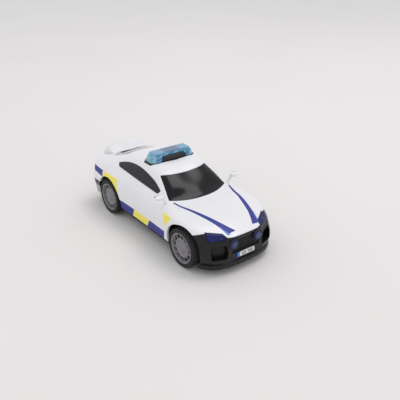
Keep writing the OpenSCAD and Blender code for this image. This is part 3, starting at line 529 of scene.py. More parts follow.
def grown(outline, by):
    """The outline moved outward, with its corners kept sharp."""
    points = [np.array(p, float) for p in outline]
    turn = 1 if area_of([tuple(p) for p in points]) > 0 else -1
    result = []
    for before, here, after in zip(points[-1:] + points[:-1], points, points[1:] + points[:1]):
        a = (here - before) / np.linalg.norm(here - before)
        b = (after - here) / np.linalg.norm(after - here)
        na, nb = turn * np.array([a[1], -a[0]]), turn * np.array([b[1], -b[0]])
        result.append(tuple(here + by * (na + nb) / (1 + na @ nb)))
    return result


def rounded(outline, radius, steps=5):
    """The outline with each sharp corner turned into a small curve."""
    points = [np.array(p, float) for p in outline]
    result = []
    for before, here, after in zip(points[-1:] + points[:-1], points, points[1:] + points[:1]):
        a, b = before - here, after - here
        la, lb = np.linalg.norm(a), np.linalg.norm(b)
        if -(a @ b) / (la * lb) > math.cos(math.radians(22)):
            result.append(tuple(here))
            continue
        start = here + a * min(radius / la, 0.45)
        end = here + b * min(radius / lb, 0.45)
        for t in np.linspace(0, 1, steps):
            result.append(tuple((1 - t) ** 2 * start + 2 * t * (1 - t) * here + t * t * end))
    return result


def bow(a, b, rise, count=36):
    """A shallow arc from a to b."""
    a, b = np.array(a, float), np.array(b, float)
    along = b - a
    across = np.array([-along[1], along[0]]) / np.linalg.norm(along)
    return [tuple(a + along * t + across * rise * 4 * t * (1 - t)) for t in np.linspace(0, 1, count + 1)]


def brow(x, half, rise, count=36):
    """The upper edge of the windscreen: nearly straight, and swept back at both ends."""
    return [(x + rise * (1 - t ** 4), half * t) for t in np.linspace(1, -1, count + 1)]


def prism(name, outline, axis, low, high):
    """A solid with that outline across one axis: (y, z) across x, (x, z) across y or (x, y) across z."""
    order = {"x": lambda p, q: (q, p[0], p[1]), "y": lambda p, q: (p[0], q, p[1]),
             "z": lambda p, q: (p[0], p[1], q)}[axis]
    n = len(outline)
    points = [order(p, low) for p in outline] + [order(p, high) for p in outline]
    faces = [tuple(range(n)), tuple(range(n, 2 * n))]
    faces += [(i, (i + 1) % n, n + (i + 1) % n, n + i) for i in range(n)]
    return mesh_piece(name, points, faces)


def pair(name, outline, axis, low, high):
    """Two prisms, one on each side of the car, in one object."""
    if axis == "x":
        made = [prism(name, [(s * p[0], p[1]) for p in outline], axis, low, high) for s in (1, -1)]
    else:
        made = [prism(name, outline, axis, *sorted((s * low, s * high))) for s in (1, -1)]
    return joined(made)


def joined(pieces):
    """Several separate solids as one object."""
    work = bmesh.new()
    for piece in pieces:
        work.from_mesh(piece.data)
    work.to_mesh(pieces[0].data)
    work.free()
    for piece in pieces[1:]:
        bpy.data.objects.remove(piece)
    return pieces[0]


def circle(a, b, radius, count):
    """The outline of a round hole or rod about the point (a, b)."""
    return [(a + radius * math.cos(t), b + radius * math.sin(t))
            for t in np.linspace(0, 2 * math.pi, count, endpoint=False)]


def arch_rods():
    """The four round openings over the wheels."""
    return joined([pair("arch", circle(x, axle_height, arch_radius, 120), "y", arch_inside, far)
                   for x in wheel_places.values()])


def carve(piece, operation, *tools):
    """Cuts, joins or keeps what is common with each tool, which is used up."""
    for tool in tools:
        step = piece.modifiers.new("step", "BOOLEAN")
        step.solver = "MANIFOLD"
        step.operation = operation
        step.object = tool
    bpy.context.view_layer.update()
    done = bpy.data.meshes.new_from_object(piece.evaluated_get(bpy.context.evaluated_depsgraph_get()))
    piece.modifiers.clear()
    piece.data = done
    work = bmesh.new()
    work.from_mesh(done)
    bmesh.ops.remove_doubles(work, verts=work.verts, dist=2e-6)
    bmesh.ops.dissolve_degenerate(work, edges=work.edges, dist=1e-6)
    work.to_mesh(done)
    work.free()
    for tool in tools:
        bpy.data.objects.remove(tool)
    return piece


wall = 1.6
lamp_gap, slot_gap = 0.15, 0.35
slot_low = 43.4
side_glass_from, front_glass_from, rear_glass_from = 15.0, 30.0, 34.0
arch_radius, arch_inside = 16.0, 20.7
side_glass = rounded(bow([-41.7, 40.1], [14.9, 38], 6.35) + [(13.1, 35.9), (-38.3, 38.5)], 1.0)
front_glass = rounded(brow(6.7, 18.9, 4.0) + bow([24.2, -23.9], [24.2, 23.9], -7.4), 0.9)
rear_glass = rounded(bow([-41, -15.2], [-41, 15.2], -2.5) + bow([-58.2, 17.6], [-58.2, -17.6], -8), 0.9)
bar_x = -9.4
bar_outline = [(bar_x + a, b) for a, b in ((7, 14.3), (4, 18.5), (-4, 18.5), (-7, 14.3),
                                           (-7, -14.3), (-4, -18.5), (4, -18.5), (7, -14.3))]
headlamp_outline = [(13.9, 25.4), (14.8, 26.7), (23.8, 28), (24.6, 25.8), (24.5, 23.6), (15.8, 24.2)]
tail_lamp_outline = [(14.5, 27), (26.5, 26.2), (28.8, 30.4), (24, 31.8), (15.5, 30.4)]
headlamp_from, tail_lamp_from = 52.0, -66.0
front_split = [(50, 26), (57, 26.2), (62.7, 27.8), (71.5, 25.2), (far, 24.8), (far, below), (50, below)]
rear_split = [(-far, 19.8), (-70.7, 20.2), (-58.7, 20.9), (-50, 20.9), (-50, below), (-far, below)]


def glass_tools(by):
    """The window openings, grown by some mm."""
    return [pair("window", grown(side_glass, by), "y", side_glass_from, far),
            prism("screen", grown(front_glass, by), "z", front_glass_from, far),
            prism("screen", grown(rear_glass, by), "z", rear_glass_from, far)]


def lamp_tools(by):
    """The lamp openings at both ends, grown by some mm."""
    return [pair("lamp", grown(headlamp_outline, by), "x", headlamp_from, far),
            pair("lamp", grown(tail_lamp_outline, by), "x", -far, tail_lamp_from)]


shell = body_form("moulded_shell", 0.0, deep=False, rounding=0.9)
carve(shell, "DIFFERENCE", body_form("inside", wall, fine=False), prism("split", front_split, "y", -far, far),
      prism("split", rear_split, "y", -far, far), arch_rods(), *glass_tools(0.0),
      prism("slot", grown(bar_outline, slot_gap), "z", slot_low, far), *lamp_tools(lamp_gap))

shell_white, place = finish("shell_white", Coat_Roughness=0.12, Specular_IOR_Level=0.5)
x, y, z = place.parts()
wide = abs(y)
print_edge = 0.06


def block(u, v, outline):
    """1 inside a convex outline and 0 outside, with a print's soft edge."""
    turn = 1 if area_of(outline) > 0 else -1
    within = None
    for a, b in zip(outline, outline[1:] + outline[:1]):
        long = math.hypot(b[0] - a[0], b[1] - a[1])
        nu, nv = -turn * (b[1] - a[1]) / long, turn * (b[0] - a[0]) / long
        edge = u * nu + v * nv - (a[0] * nu + a[1] * nv)
        within = edge if within is None else within & edge
    return within.above(0.0, print_edge)


def by_stops(u, stops, top):
    """A straight-edged curve of u through (u, value) stops, for values from 0 to top."""
    low, high = stops[0][0], stops[-1][0]
    grey = [((a - low) / (high - low), (b / top, b / top, b / top, 1.0)) for a, b in stops]
    share = (u - low) * (1 / (high - low))
    return share.node("ShaderNodeValToRGB", {"stops": grey}, {"Fac": share}) * top


flank = wide.above(26.0, 0.2)
blue_blocks = (block(x, z, [(-28.6, 9), (-12.8, 9), (-8.7, 17), (-28.6, 17)])
               | block(x, z, [(6.1, 9), (27.5, 9), (29.8, 17), (10.9, 17)])
               | block(x, z, [(-69.3, 31.4), (-53, 31.9), (-51.6, 27.2), (-66, 27.7)])) * flank
yellow_blocks = (block(x, z, [(-12.8, 9), (6.1, 9), (10.9, 17), (-8.7, 17)])
                 | block(x, z, [(-51.2, 32), (-32, 32), (-29.3, 22.5), (-40, 20), (-51.2, 25)])
                 | block(x, z, [(28.5, 30.5), (38.1, 30.3), (31.5, 21.4)])) * flank
print_shift = 1.5
stripe_start, stripe_end, stripe_scale = 27, 69.8, 30.0
from_middle = abs(y - print_shift)
outer_edge = by_stops(x, [(stripe_start, 24.4), (35, 22.3), (43, 20.6), (52, 18.2), (59, 16.2), (64, 14.9),
                          (stripe_end, 13.4)], stripe_scale)
inner_edge = by_stops(x, [(stripe_start, 23.2), (35, 20.5), (43, 18.3), (51, 15.4), (59, 12.6), (65.4, 9.6),
                          (stripe_end, 7.0)], stripe_scale)
upper = z.above(24.0, 0.5)
bonnet = x.above(stripe_start, 0.1) * (1 - x.above(stripe_end, 0.08)) * upper
stripe = ((outer_edge - from_middle).above(0.0, print_edge)
          * (from_middle - inner_edge).above(0.0, print_edge) * bonnet)
wedge = block(x, from_middle, [(62.0, 15.1), (70.5, 13.9), (70.8, 11.8)]) * upper
tone = place.noise(22.0, 2.0)
ink = place.noise(0.5, 2.0)
print_blue = ink.choose(srgb(30, 40, 138), srgb(42, 54, 152))
print_yellow = ink.choose(srgb(253, 236, 92), srgb(254, 242, 112))
white = tone.choose(srgb(238, 237, 240), srgb(244, 243, 245))
painted = (blue_blocks | stripe).choose(white, print_blue)
painted = yellow_blocks.choose(painted, print_yellow)
wedge.choose(painted, srgb(84, 140, 214)).feeds("Base Color")
printed = blue_blocks | stripe | yellow_blocks | wedge
(0.3 + 0.06 * tone + 0.14 * printed).feeds("Roughness")
(0.12 - 0.12 * printed).feeds("Coat Weight")
(place.noise(0.7, 2.0) + 0.6 * printed).raise_surface(0.012, 0.3)
settle(shell, shell_white, "car", ["body_shell"])

# Glazing
# One vacuum-formed liner of smoked styrene sits inside the shell and fills the windscreen, the side
# windows and the rear screen, almost flush with the white around them.
roof_band = [(-46, -17), (12, -17), (12, 17), (-46, 17)]
pane_sink, pane_gap, pane_lap = 0.15, 0.1, 0.5
liner_wall, liner_margin, liner_low = 1.0, 1.6, 32.5


def skin(name, outer, inner, **form):
    """The body form's skin, from one depth to another."""
    return carve(body_form(name, outer, **form), "DIFFERENCE", body_form("inside", inner, fine=False))


panes = skin("smoked_panes", pane_sink, wall + pane_lap)
kept = glass_tools(-pane_gap)
carve(kept[0], "UNION", *kept[1:])
carve(panes, "INTERSECT", kept[0])
liner = skin("smoked_liner", wall + pane_sink, wall + pane_sink + liner_wall, fine=False)
kept = glass_tools(liner_margin)
carve(kept[0], "UNION", *kept[1:], prism("band", roof_band, "z", 40.0, far))
carve(liner, "INTERSECT", kept[0])
carve(panes, "UNION", liner)
carve(panes, "DIFFERENCE",
      prism("slot", grown(bar_outline, slot_gap + liner_wall), "z", slot_low - liner_wall, far),
      prism("low", [(-far, -far), (far, -far), (far, far), (-far, far)], "z", -20.0, liner_low))
smoked, place = finish("smoked", IOR=1.4, Specular_IOR_Level=0.35, Coat_Roughness=0.03)
x, y, z = place.parts()
haze = place.noise(16.0, 2.0)
rear_pane = (1 - x.above(-39.0, 1.0)) * (1 - abs(y).above(19.6, 0.4))
rear_pane.feeds("Coat Weight")
side_panes = abs(y).above(20.6, 0.6) * (1 - x.above(15.2, 0.4))
# The liner is one smoked plastic: the darker windscreen, the paler side panes and the grey rear pane are
# painted reflection.
screen_painted_dark_reflection = haze.choose(srgb(15, 14, 16), srgb(22, 21, 23))
side_painted_pale_reflection = haze.choose(srgb(42, 41, 43), srgb(50, 49, 51))
painted_reflection_tone = side_panes.choose(screen_painted_dark_reflection, side_painted_pale_reflection)
rear_pane.choose(painted_reflection_tone, srgb(78, 78, 81)).feeds("Base Color")
(0.12 + 0.05 * haze + 0.04 * place.noise(1.2, 3.0)).feeds("Roughness")
place.noise(9.0, 1.0).raise_surface(0.006, 0.2)
settle(panes, smoked, "car", ["glazing"])

# Front bumper and lip
# Black ABS, moulded apart from the shell and clipped over its nose. It has an opening for the grille, a
# framed air intake with a sloping shelf under each lamp, and a flat lip that runs round the bottom.
intake_outline = [(15.3, 21), (23.8, 21.3), (24.9, 17), (24.9, 11.8), (14.4, 11.6), (14.1, 16)]
grille_outline = [(12.4, 23.6), (13.6, 20.2), (10.9, 13.7), (-10.9, 13.7), (-13.6, 20.2), (-12.4, 23.6)]
nose_from, split_gap = 60.0, 0.3
bumper_wall, cup_wall, cup_front, pocket_floor, cup_back = 2.4, 0.9, 1.2, 3.2, 4.0
lip_low, lip_high, lip_wide, lip_back, lip_round = 4.5, 8.0, 5.0, 56, 1.1
lip_knots = np.array([(40, 30.2), (56, 30.4), (61, 30), (65, 28.6), (69, 25.6), (72.4, 20.4), (74.4, 12.6),
                      (75, 4)])
lip_run = np.concatenate([[0.0], np.cumsum(np.linalg.norm(np.diff(lip_knots, axis=0), axis=1))])
lip_half = through(np.column_stack([lip_run, lip_knots]), np.linspace(0, lip_run[-1], 60))[:, 1:]
lip_outline = [(a, b) for a, b in lip_half] + [(a, -b) for a, b in lip_half[::-1]]
ledge_deep = 1.1


def bumper_dent(x, y, z):
    """A sloping ledge between each lamp and the intake below it."""
    across = np.clip((np.abs(y) - 14.8) / 0.8, 0, 1) * np.clip((24.9 - np.abs(y)) / 0.8, 0, 1)
    up = np.clip((z - 21.5) / 1.3, 0, 1) * np.clip((24.6 - z) / 0.5, 0, 1)
    return np.where(x > 57, ledge_deep * across * up, 0.0)


def bevelled(piece, chosen, wide, steps, clamp=False):
    """Rounds the edges that chosen(edge) picks, over a width in mm."""
    work = bmesh.new()
    work.from_mesh(piece.data)
    edges = [e for e in work.edges if chosen(e)]
    bmesh.ops.bevel(work, geom=edges, offset=wide * mm, segments=steps, affect="EDGES", profile=0.5,
                    clamp_overlap=clamp)
    work.to_mesh(piece.data)
    work.free()


def lip_edge(edge):
    """True for the lip's level edges, which are sharp."""
    level = abs(edge.verts[0].co.z - edge.verts[1].co.z) < 1e-6
    return level and len(edge.link_faces) == 2 and edge.calc_face_angle(0.0) > 1.2


nose = skin("nose_bumper", 0.0, bumper_wall, deep=False, rounding=1.2, dent=bumper_dent)
cups = pair("cup", grown(intake_outline, cup_wall), "x", nose_from, far)
carve(cups, "INTERSECT", body_form("front", cup_front, fine=False))
carve(cups, "DIFFERENCE", body_form("behind", cup_back, fine=False))
carve(nose, "UNION", cups)
carve(nose, "INTERSECT", prism("split", grown(front_split, -split_gap), "y", -far, far))
pockets = pair("pocket", rounded(intake_outline, 1.0), "x", nose_from, far)
carve(pockets, "DIFFERENCE", body_form("floor", pocket_floor, fine=False))
lip = prism("lip", lip_outline, "z", lip_low, lip_high)
carve(lip, "DIFFERENCE", prism("inner", grown(lip_outline, -lip_wide), "z", 0.0, 9.5),
      prism("behind", [(0, -far), (lip_back, -far), (lip_back, far), (0, far)], "z", 0.0, 9.5))
bevelled(lip, lip_edge, lip_round, 5)
carve(nose, "UNION", lip)
carve(nose, "DIFFERENCE", arch_rods(), *lamp_tools(lamp_gap),
      prism("opening", grille_outline, "x", nose_from, far), pockets)
bumper_dark, bumper_pale = srgb(20, 19, 21), srgb(29, 28, 30)
bumper_black, place = finish("bumper_black", Specular_IOR_Level=0.3, Coat_Weight=0.05, Coat_Roughness=0.15)
cloud = place.noise(9.0, 3.0)
rubbed = place.noise(1.1, 4.0).above(0.66, 0.05)
x, y, z = place.parts()
hollow = block(abs(y), z, intake_outline)
hollow.choose(cloud.choose(bumper_dark, bumper_pale), srgb(24, 23, 24)).feeds("Base Color")
(0.2 + 0.1 * cloud + 0.1 * rubbed + 0.15 * hollow).feeds("Roughness")
place.noise(0.6, 2.0).raise_surface(0.02, 0.35)
settle(nose, bumper_black, "car", ["front_bumper"])

# Grille
# A black ABS plate that sits inside the bumper's opening, with a honeycomb moulded into its face and
# a socket near each end for a round lamp.
grille_back, grille_face, grille_middle = 71.4, 72.6, 19
plate_outline = [(a * 0.985, (b - grille_middle) * 0.965 + grille_middle) for a, b in grille_outline]
honeycomb = prism("honeycomb_grille", plate_outline, "x", grille_back, grille_face)
lamp_across, lamp_up, lamp_clear, socket_radius = 9.9, 20.3, 4.4, 1.8
cell_floor, cell_radius, lowest_cell, highest_cell = 71.9, 0.68, 14.9, 22.6
pitch_across, pitch_up = 1.5, 1.3
cells = []
for i in range(-8, 9):
    for j in range(0, 6):
        cy, cz = (i + 0.5 * (j % 2)) * pitch_across, lowest_cell + j * pitch_up
        off_lamp = min(math.hypot(cy - s * lamp_across, cz - lamp_up) for s in (1, -1)) > lamp_clear
        if off_lamp and abs(cy) < 10.2 - 0.12 * abs(cz - grille_middle) and cz < highest_cell:
            cells.append(prism("cell", [(cy + cell_radius * math.sin(t), cz + cell_radius * math.cos(t))
                                        for t in np.radians(range(0, 360, 60))], "x", cell_floor, far))
for s in (1, -1):
    cells.append(prism("socket", circle(s * lamp_across, lamp_up, socket_radius, 40), "x", nose_from, far))
carve(honeycomb, "DIFFERENCE", joined(cells))
grille_black = moulded_plastic("grille_black", srgb(30, 30, 31), 0.42, 0.5, 0.02, 0.12)
settle(honeycomb, grille_black, "car", ["grille"])

# Round lamps in the grille
# Blue polystyrene domes with a rolled rim and a grid of small prisms on the front, pushed into the
# grille's sockets in front of two light-emitting diodes.
lamp_rows = [(0.01, 2.28), (0.6, 2.26), (1.2, 2.2), (1.8, 2.08), (2.3, 1.92), (2.7, 1.7), (2.95, 1.52),
             (3.05, 1.36), (3.2, 1.36), (3.42, 1.52), (3.66, 1.5), (3.82, 1.34), (3.9, 1.15), (3.9, 1.05),
             (3.2, 1.05), (3.2, 0.0), (2.5, 0.0), (2.4, 0.7), (1.4, 1.4), (0.01, 1.7)]
blue_lamp, place = finish("blue_lamp", IOR=1.5, Transmission_Weight=0.1, Specular_IOR_Level=0.4)
x, y, z = place.parts()
squares = (y * 9.0).sine() * (z * 9.0).sine()
across = abs(y) - lamp_across
middle = 1 - (across * across + (z - lamp_up) * (z - lamp_up)).above(4.6, 4.0)
(middle * (0.7 + 0.3 * squares)).choose(srgb(16, 22, 62), srgb(72, 96, 146)).feeds("Base Color")
(0.16 + 0.08 * squares).feeds("Roughness")
(0.5 + 0.5 * squares).raise_surface(0.12)
dome_steps = 64
dome_turns = [i * 2 * math.pi / dome_steps for i in range(dome_steps)]


def on_grille(side):
    """Puts (radius, turn, along) on one lamp; along runs forward from the grille's face."""
    return lambda r, turn, along: (grille_face + along, side * lamp_across + r * math.cos(turn),
                                   lamp_up + r * math.sin(turn))


for hand, side in hands.items():
    dome = turned(f"grille_dome_{hand}", lambda turn: lamp_rows, dome_turns, False, on_grille(side))
    settle(dome, blue_lamp, "car", [f"grille_lamp_{hand}"], 40.0)
diode, place = finish("diode", IOR=1.5, Transmission_Weight=0.7, Coat_Weight=0.4)
milk = place.noise(0.8)
milk.choose(srgb(214, 226, 244), srgb(240, 244, 250)).feeds("Base Color")
(0.12 + 0.2 * milk).feeds("Roughness")
milk.raise_surface(0.01)
dress(diode, "front_leds", "lightbar_leds")

# Headlights
# Dark blue lenses set flush in the nose, with a sunk panel inside a narrow frame. They are moulded in
# clear-tinted styrene, polished outside and ribbed behind.
lens_wall = 1.3


def lens_dent(outline, frame_wide, deep):
    """Sinks the middle of a lens, inside a frame of some width along the outline's (y, z) edges."""
    turn = 1 if area_of(outline) > 0 else -1

    def dent(x, y, z):
        within = np.full(np.shape(y), 1e9)
        for a, b in zip(outline, outline[1:] + outline[:1]):
            long = math.hypot(b[0] - a[0], b[1] - a[1])
            inward = (b[0] - a[0]) * (z - a[1]) - (b[1] - a[1]) * (np.abs(y) - a[0])
            within = np.minimum(within, turn * inward / long)
        return deep * np.clip((within - frame_wide) / 0.5, 0, 1)

    return dent


def lens_piece(name, outline, low, high, side, frame_wide, deep):
    """A lens cut out of the body's skin, sunk inside its frame."""
    lens = skin(name, 0.0, lens_wall, rounding=0.9, dent=lens_dent(outline, frame_wide, deep))
    sided = [(side * a, b) for a, b in rounded(grown(outline, -lamp_gap), 0.6)]
    return carve(lens, "INTERSECT", prism("edge", sided, "x", low, high))


blue_lens, place = finish("blue_lens", IOR=1.5, Specular_IOR_Level=0.25)
x, y, z = place.parts()
rib = (abs(y) * 5.2).sine()
# Paler toward the lens's outer end: a painted highlight.
painted_outer_highlight = abs(y).above(20.0, 5.0)
(0.35 * (0.5 + 0.5 * rib) + 0.3 * painted_outer_highlight).choose(srgb(10, 15, 66), srgb(36, 50, 128)).feeds("Base Color")
(0.12 + 0.06 * place.noise(2.0)).feeds("Roughness")
(0.5 + 0.5 * rib).raise_surface(0.06, 0.2)
for hand, side in hands.items():
    lens = lens_piece(f"head_lens_{hand}", headlamp_outline, headlamp_from, far, side, 0.7, 0.4)
    settle(lens, blue_lens, "car", [f"headlight_{hand}"])

# Rear bumper and tail lights
# The rear bumper is a black moulding under the tail, clipped to the shell, grey below 16.6 mm as painted
# reflection of the floor on its lower faces. The tail lights are red styrene lenses with a frame and fine
# upright ribs.
rear_wall = 2.0
rear = skin("tail_bumper", 0.0, rear_wall, deep=False, rounding=0.9)
carve(rear, "INTERSECT", prism("split", grown(rear_split, -split_gap), "y", -far, far))
carve(rear, "DIFFERENCE", arch_rods())
valance_painted_reflection, place = finish("valance_painted_reflection", Specular_IOR_Level=0.3)
x, y, z = place.parts()
cloud = place.noise(8.0, 3.0)
# Grey below 16.6 mm: painted reflection of the pale floor on the bumper's lower faces.
painted_reflection_band = 1 - z.above(16.6, 0.1)
painted_reflection_grey = cloud.choose(srgb(150, 149, 151), srgb(164, 163, 165))
painted_reflection_band.choose(cloud.choose(bumper_dark, bumper_pale), painted_reflection_grey).feeds("Base Color")
(0.24 + 0.14 * cloud).feeds("Roughness")
place.noise(0.6, 2.0).raise_surface(0.02, 0.35)
settle(rear, valance_painted_reflection, "car", ["rear_bumper"])
red_lens, place = finish("red_lens", IOR=1.5, Transmission_Weight=0.2, Coat_Weight=0.8, Coat_Roughness=0.05)
x, y, z = place.parts()
rib = (abs(y) * 6.0).sine()
pale = z.above(28.6, 0.15) * (1 - z.above(29.6, 0.15))
(0.3 * (0.5 + 0.5 * rib) + 0.5 * pale).choose(srgb(132, 12, 16), srgb(206, 48, 44)).feeds("Base Color")
(0.14 + 0.06 * place.noise(2.0)).feeds("Roughness")
(0.5 + 0.5 * rib).raise_surface(0.06, 0.2)
for hand, side in hands.items():
    lens = lens_piece(f"tail_lens_{hand}", tail_lamp_outline, -far, tail_lamp_from, side, 0.6, 0.35)
    settle(lens, red_lens, "car", [f"tail_light_{hand}"])

# Plates
# Thin white styrene plates with a raised rim, glued to the bumper and the tail, with a blue band on one
# end and a row of plain figures in raised strokes.
strokes = {"1": "bc", "2": "abged", "3": "abgcd", "4": "fgbc", "5": "afgcd", "6": "afgedc"}
stroke_boxes = {"a": (0, 1, 1, 1), "b": (1, 0.5, 1, 1), "c": (1, 0, 1, 0.5), "d": (0, 0, 1, 0),
                "e": (0, 0, 0, 0.5), "f": (0, 0.5, 0, 1), "g": (0, 0.5, 1, 0.5)}
stroke_half, figure_wide, figure_pitch, first_figure = 0.13, 0.85, 1.45, -4.0
figure_tall, figure_foot, figure_root, figure_top = 0.56, 0.22, 0.14, 0.02
plate_rim, plate_sunk = 0.25, 0.12
plate_white, place = finish("plate_white", Coat_Weight=0.2)
x, y, z = place.parts()
smudge = place.noise(2.5, 3.0)
band = (y * x.above(0.0, 1.0) - y * (1 - x.above(0.0, 1.0))).above(-5.1, 0.05)
band.choose(srgb(66, 124, 196), smudge.choose(srgb(226, 226, 224), srgb(240, 240, 238))).feeds("Base Color")
(0.32 + 0.12 * smudge).feeds("Roughness")
smudge.raise_surface(0.01, 0.1)
figure_black = moulded_plastic("figure_black", srgb(64, 64, 68), 0.5, 0.4, 0.01)
for name, node, back, forward, thick, half, low, high in (
        ("front_number_plate", "front_plate", 73.55, 1, 0.7, 7.2, 10.2, 13.2),
        ("rear_number_plate", "rear_plate", -74.55, -1, 0.4, 7.0, 20.6, 24.6)):
    edge = rounded([(-half, low), (half, low), (half, high), (-half, high)], 0.4)
    face = back + forward * thick
    plate = prism(name, edge, "x", *sorted((back, face)))
    carve(plate, "DIFFERENCE", prism("sunk", rounded(grown(edge, -plate_rim), 0.3), "x",
                                     *sorted((face - forward * plate_sunk, face + forward))))
    settle(plate, plate_white, "car", [node])
    depth = sorted((face - forward * figure_root, face - forward * figure_top))
    boxes = []
    for i, figure in enumerate("123 456"):
        for stroke in strokes.get(figure, ""):
            u0, v0, u1, v1 = stroke_boxes[stroke]
            start, end = (first_figure + figure_pitch * i + u * figure_wide for u in (u0, u1))
            foot, head = (low + (high - low) * (figure_foot + v * figure_tall) for v in (v0, v1))
            corners = [(start - stroke_half, foot - stroke_half), (end + stroke_half, foot - stroke_half),
                       (end + stroke_half, head + stroke_half), (start - stroke_half, head + stroke_half)]
            corners = [(forward * a, b) for a, b in corners]
            boxes.append(prism("stroke", corners, "x", *depth))
    figures = carve(boxes[0], "UNION", *boxes[1:])
    figures.name = f"{name}_figures"
    settle(figures, figure_black, "car")

# Door mirrors
# White housings on short stalks, moulded in one piece and pressed into the doors, with a flat
# silvered face toward the driver.
mirror_silver, place = finish("mirror_silver", Metallic=1.0)
veil = place.noise(2.0)
veil.choose(srgb(186, 188, 192), srgb(206, 208, 212)).feeds("Base Color")
(0.08 + 0.1 * veil).feeds("Roughness")
veil.raise_surface(0.004)
mirror_white = moulded_plastic("mirror_white", srgb(236, 235, 238), 0.34, 0.7, 0.012, 0.2)
mirror_face, seat_gap = 23.25, 0.05
silver_outline = [(29.3, 38.5), (34.7, 38.9), (34.8, 40.7), (29.4, 40.5)]


def squared(value, power):
    """A sine or cosine drawn toward 1 and -1, which makes a round form squarer."""
    return math.copysign(abs(value) ** power, value)


def mirror_rings(side):
    """The housing's rings, from its inner end outward, cut flat at the silvered face."""
    rings = []
    for v in np.radians(np.linspace(-89.5, 89.5, 25)):
        ring = []
        for u in np.linspace(0, 2 * math.pi, 48, endpoint=False):
            px = squared(math.cos(v) * math.cos(u), 0.72)
            py = squared(math.sin(v), 0.72)
            pz = squared(math.cos(v) * math.sin(u), 0.72)
            taper = 1 - 0.12 * py
            ring.append((max(mirror_face, 25.4 + 2.3 * px * taper + 0.4 * py), side * (32.0 + 3.7 * py),
                         39.6 + 1.3 * pz * taper + 0.25 * py))
        rings.append(ring)
    return rings


def stalk_rings(side):
    """The stalk's rings, from the door up to the housing."""
    rings = []
    for t in np.linspace(0, 1, 8):
        cx, cy, cz = 23.9 + 0.8 * t, 26.0 + 4.0 * t, 33.5 + 5.5 * t
        hx, hz = 1.35 - 0.5 * t, 0.9 - 0.2 * t
        rings.append([(cx + hx * squared(math.cos(u), 0.6), side * cy, cz + hz * squared(math.sin(u), 0.6))
                      for u in np.linspace(0, 2 * math.pi, 24, endpoint=False)])
    return rings


for hand, side in hands.items():
    housing = skinned(f"mirror_housing_{hand}", mirror_rings(side))
    carve(housing, "UNION", skinned("stalk", stalk_rings(side)))
    carve(housing, "DIFFERENCE", body_form("body", -seat_gap))
    settle(housing, mirror_white, "car", [f"mirror_{hand}"], 40.0)
    face_outline = rounded([(side * a, b) for a, b in silver_outline], 0.8)
    silvered = prism(f"mirror_face_{hand}", face_outline, "x", mirror_face - 0.04, mirror_face + 0.15)
    settle(silvered, mirror_silver, "car")

# Spoiler
# A white ducktail moulded apart and glued to the boot lid, thick at its root and thin at the upturned
# edge.
spoiler_side = [(-62.5, 37), (-66, 39.2), (-70.5, 41.1), (-74.7, 42.6), (-75, 42.2), (-74.3, 39.6), (-74, 35),
                (-62.5, 35)]
spoiler_plan = [(-80, 18.2), (-72.4, 17.9), (-62, 14.4), (-62, -14.4), (-72.4, -17.9), (-80, -18.2)]
spoiler_half, spoiler_low, spoiler_high = 20, 30, 42.4
spoiler_front = [(spoiler_half, spoiler_low)]
spoiler_front += [(b, spoiler_high - 0.0062 * b * b - 0.11 * max(0, abs(b) - 13) ** 2)
                  for b in np.linspace(spoiler_half, -spoiler_half, 61)]
spoiler_front.append((-spoiler_half, spoiler_low))
ducktail = prism("ducktail", rounded(spoiler_side, 0.35), "y", -spoiler_half, spoiler_half)
carve(ducktail, "INTERSECT", prism("plan", rounded(spoiler_plan, 1.4), "z", spoiler_low, far),
      prism("arc", spoiler_front, "x", -far, 0.0))
carve(ducktail, "DIFFERENCE", body_form("body", -seat_gap))
spoiler_white = moulded_plastic("spoiler_white", srgb(236, 235, 238), 0.32, 0.7, 0.012, 0.35)
settle(ducktail, spoiler_white, "car", ["spoiler"])

# Light bar
# A black base slides in the roof and carries a white reflector tray with four diodes, a clear blue
# lens with bevelled sides, and a black panel in the lens's front. Pressing it works the switch.
base_black = moulded_plastic("base_black", srgb(26, 26, 29), 0.35, 0.5, 0.02, 0.3)
dress(base_black, "lightbar_base")
bar_top, lens_top = 49.3, 55.7
lens_low = bar_top + seat_gap


def hull(name, points):
    """The tight convex solid round some points."""
    work = bmesh.new()
    made = [work.verts.new(Vector(p) * mm) for p in points]
    got = bmesh.ops.convex_hull(work, input=made)
    spare = {v for v in got["geom_interior"] + got["geom_unused"] if isinstance(v, bmesh.types.BMVert)}
    bmesh.ops.delete(work, geom=list(spare), context="VERTS")
    bmesh.ops.dissolve_limit(work, angle_limit=math.radians(1.0), verts=work.verts, edges=work.edges)
    bmesh.ops.recalc_face_normals(work, faces=work.faces)
    return new_piece(name, work)


def lens_hull(name, inset, soften):
    """The light bar's lens form, moved in, with its edges softened."""
    low, top = lens_low - (1.0 if inset else 0.0), lens_top - inset
    points = [(*p, low) for p in grown(bar_outline, -0.8 - inset)]
    points += [(*p, bar_top + 0.65) for p in grown(bar_outline, -0.8 - inset)]
    points += [(*p, bar_top + 2.93) for p in grown(bar_outline, -1.4 - inset)]
    points += [(bar_x + a * (3.4 - inset), b * (14.3 - inset), top) for a in (1, -1) for b in (1, -1)]
    made = hull(name, points)
    if soften:
        bevelled(made, lambda e: max(v.co.z for v in e.verts) > (bar_top + 1) * mm, soften, 3, clamp=True)
    return made


panel_high, panel_gap = bar_top + 3.89, 0.25
panel_back, panel_front = bar_x + 3.4, bar_x + 6.4
panel_face = [(-10.6, lens_low), (10.6, lens_low), (8.8, panel_high), (-8.8, panel_high)]
clear_cover = lens_hull("clear_cover", 0.0, 0.4)
carve(clear_cover, "DIFFERENCE", lens_hull("inside", 0.9, 0.0),
      prism("notch", grown(panel_face, panel_gap), "x", panel_back - panel_gap, far))
cover_blue, place = finish("cover_blue", IOR=1.46, Transmission_Weight=0.45, Specular_IOR_Level=0.5)
x, y, z = place.parts()
flute = (y * 3.6).sine()
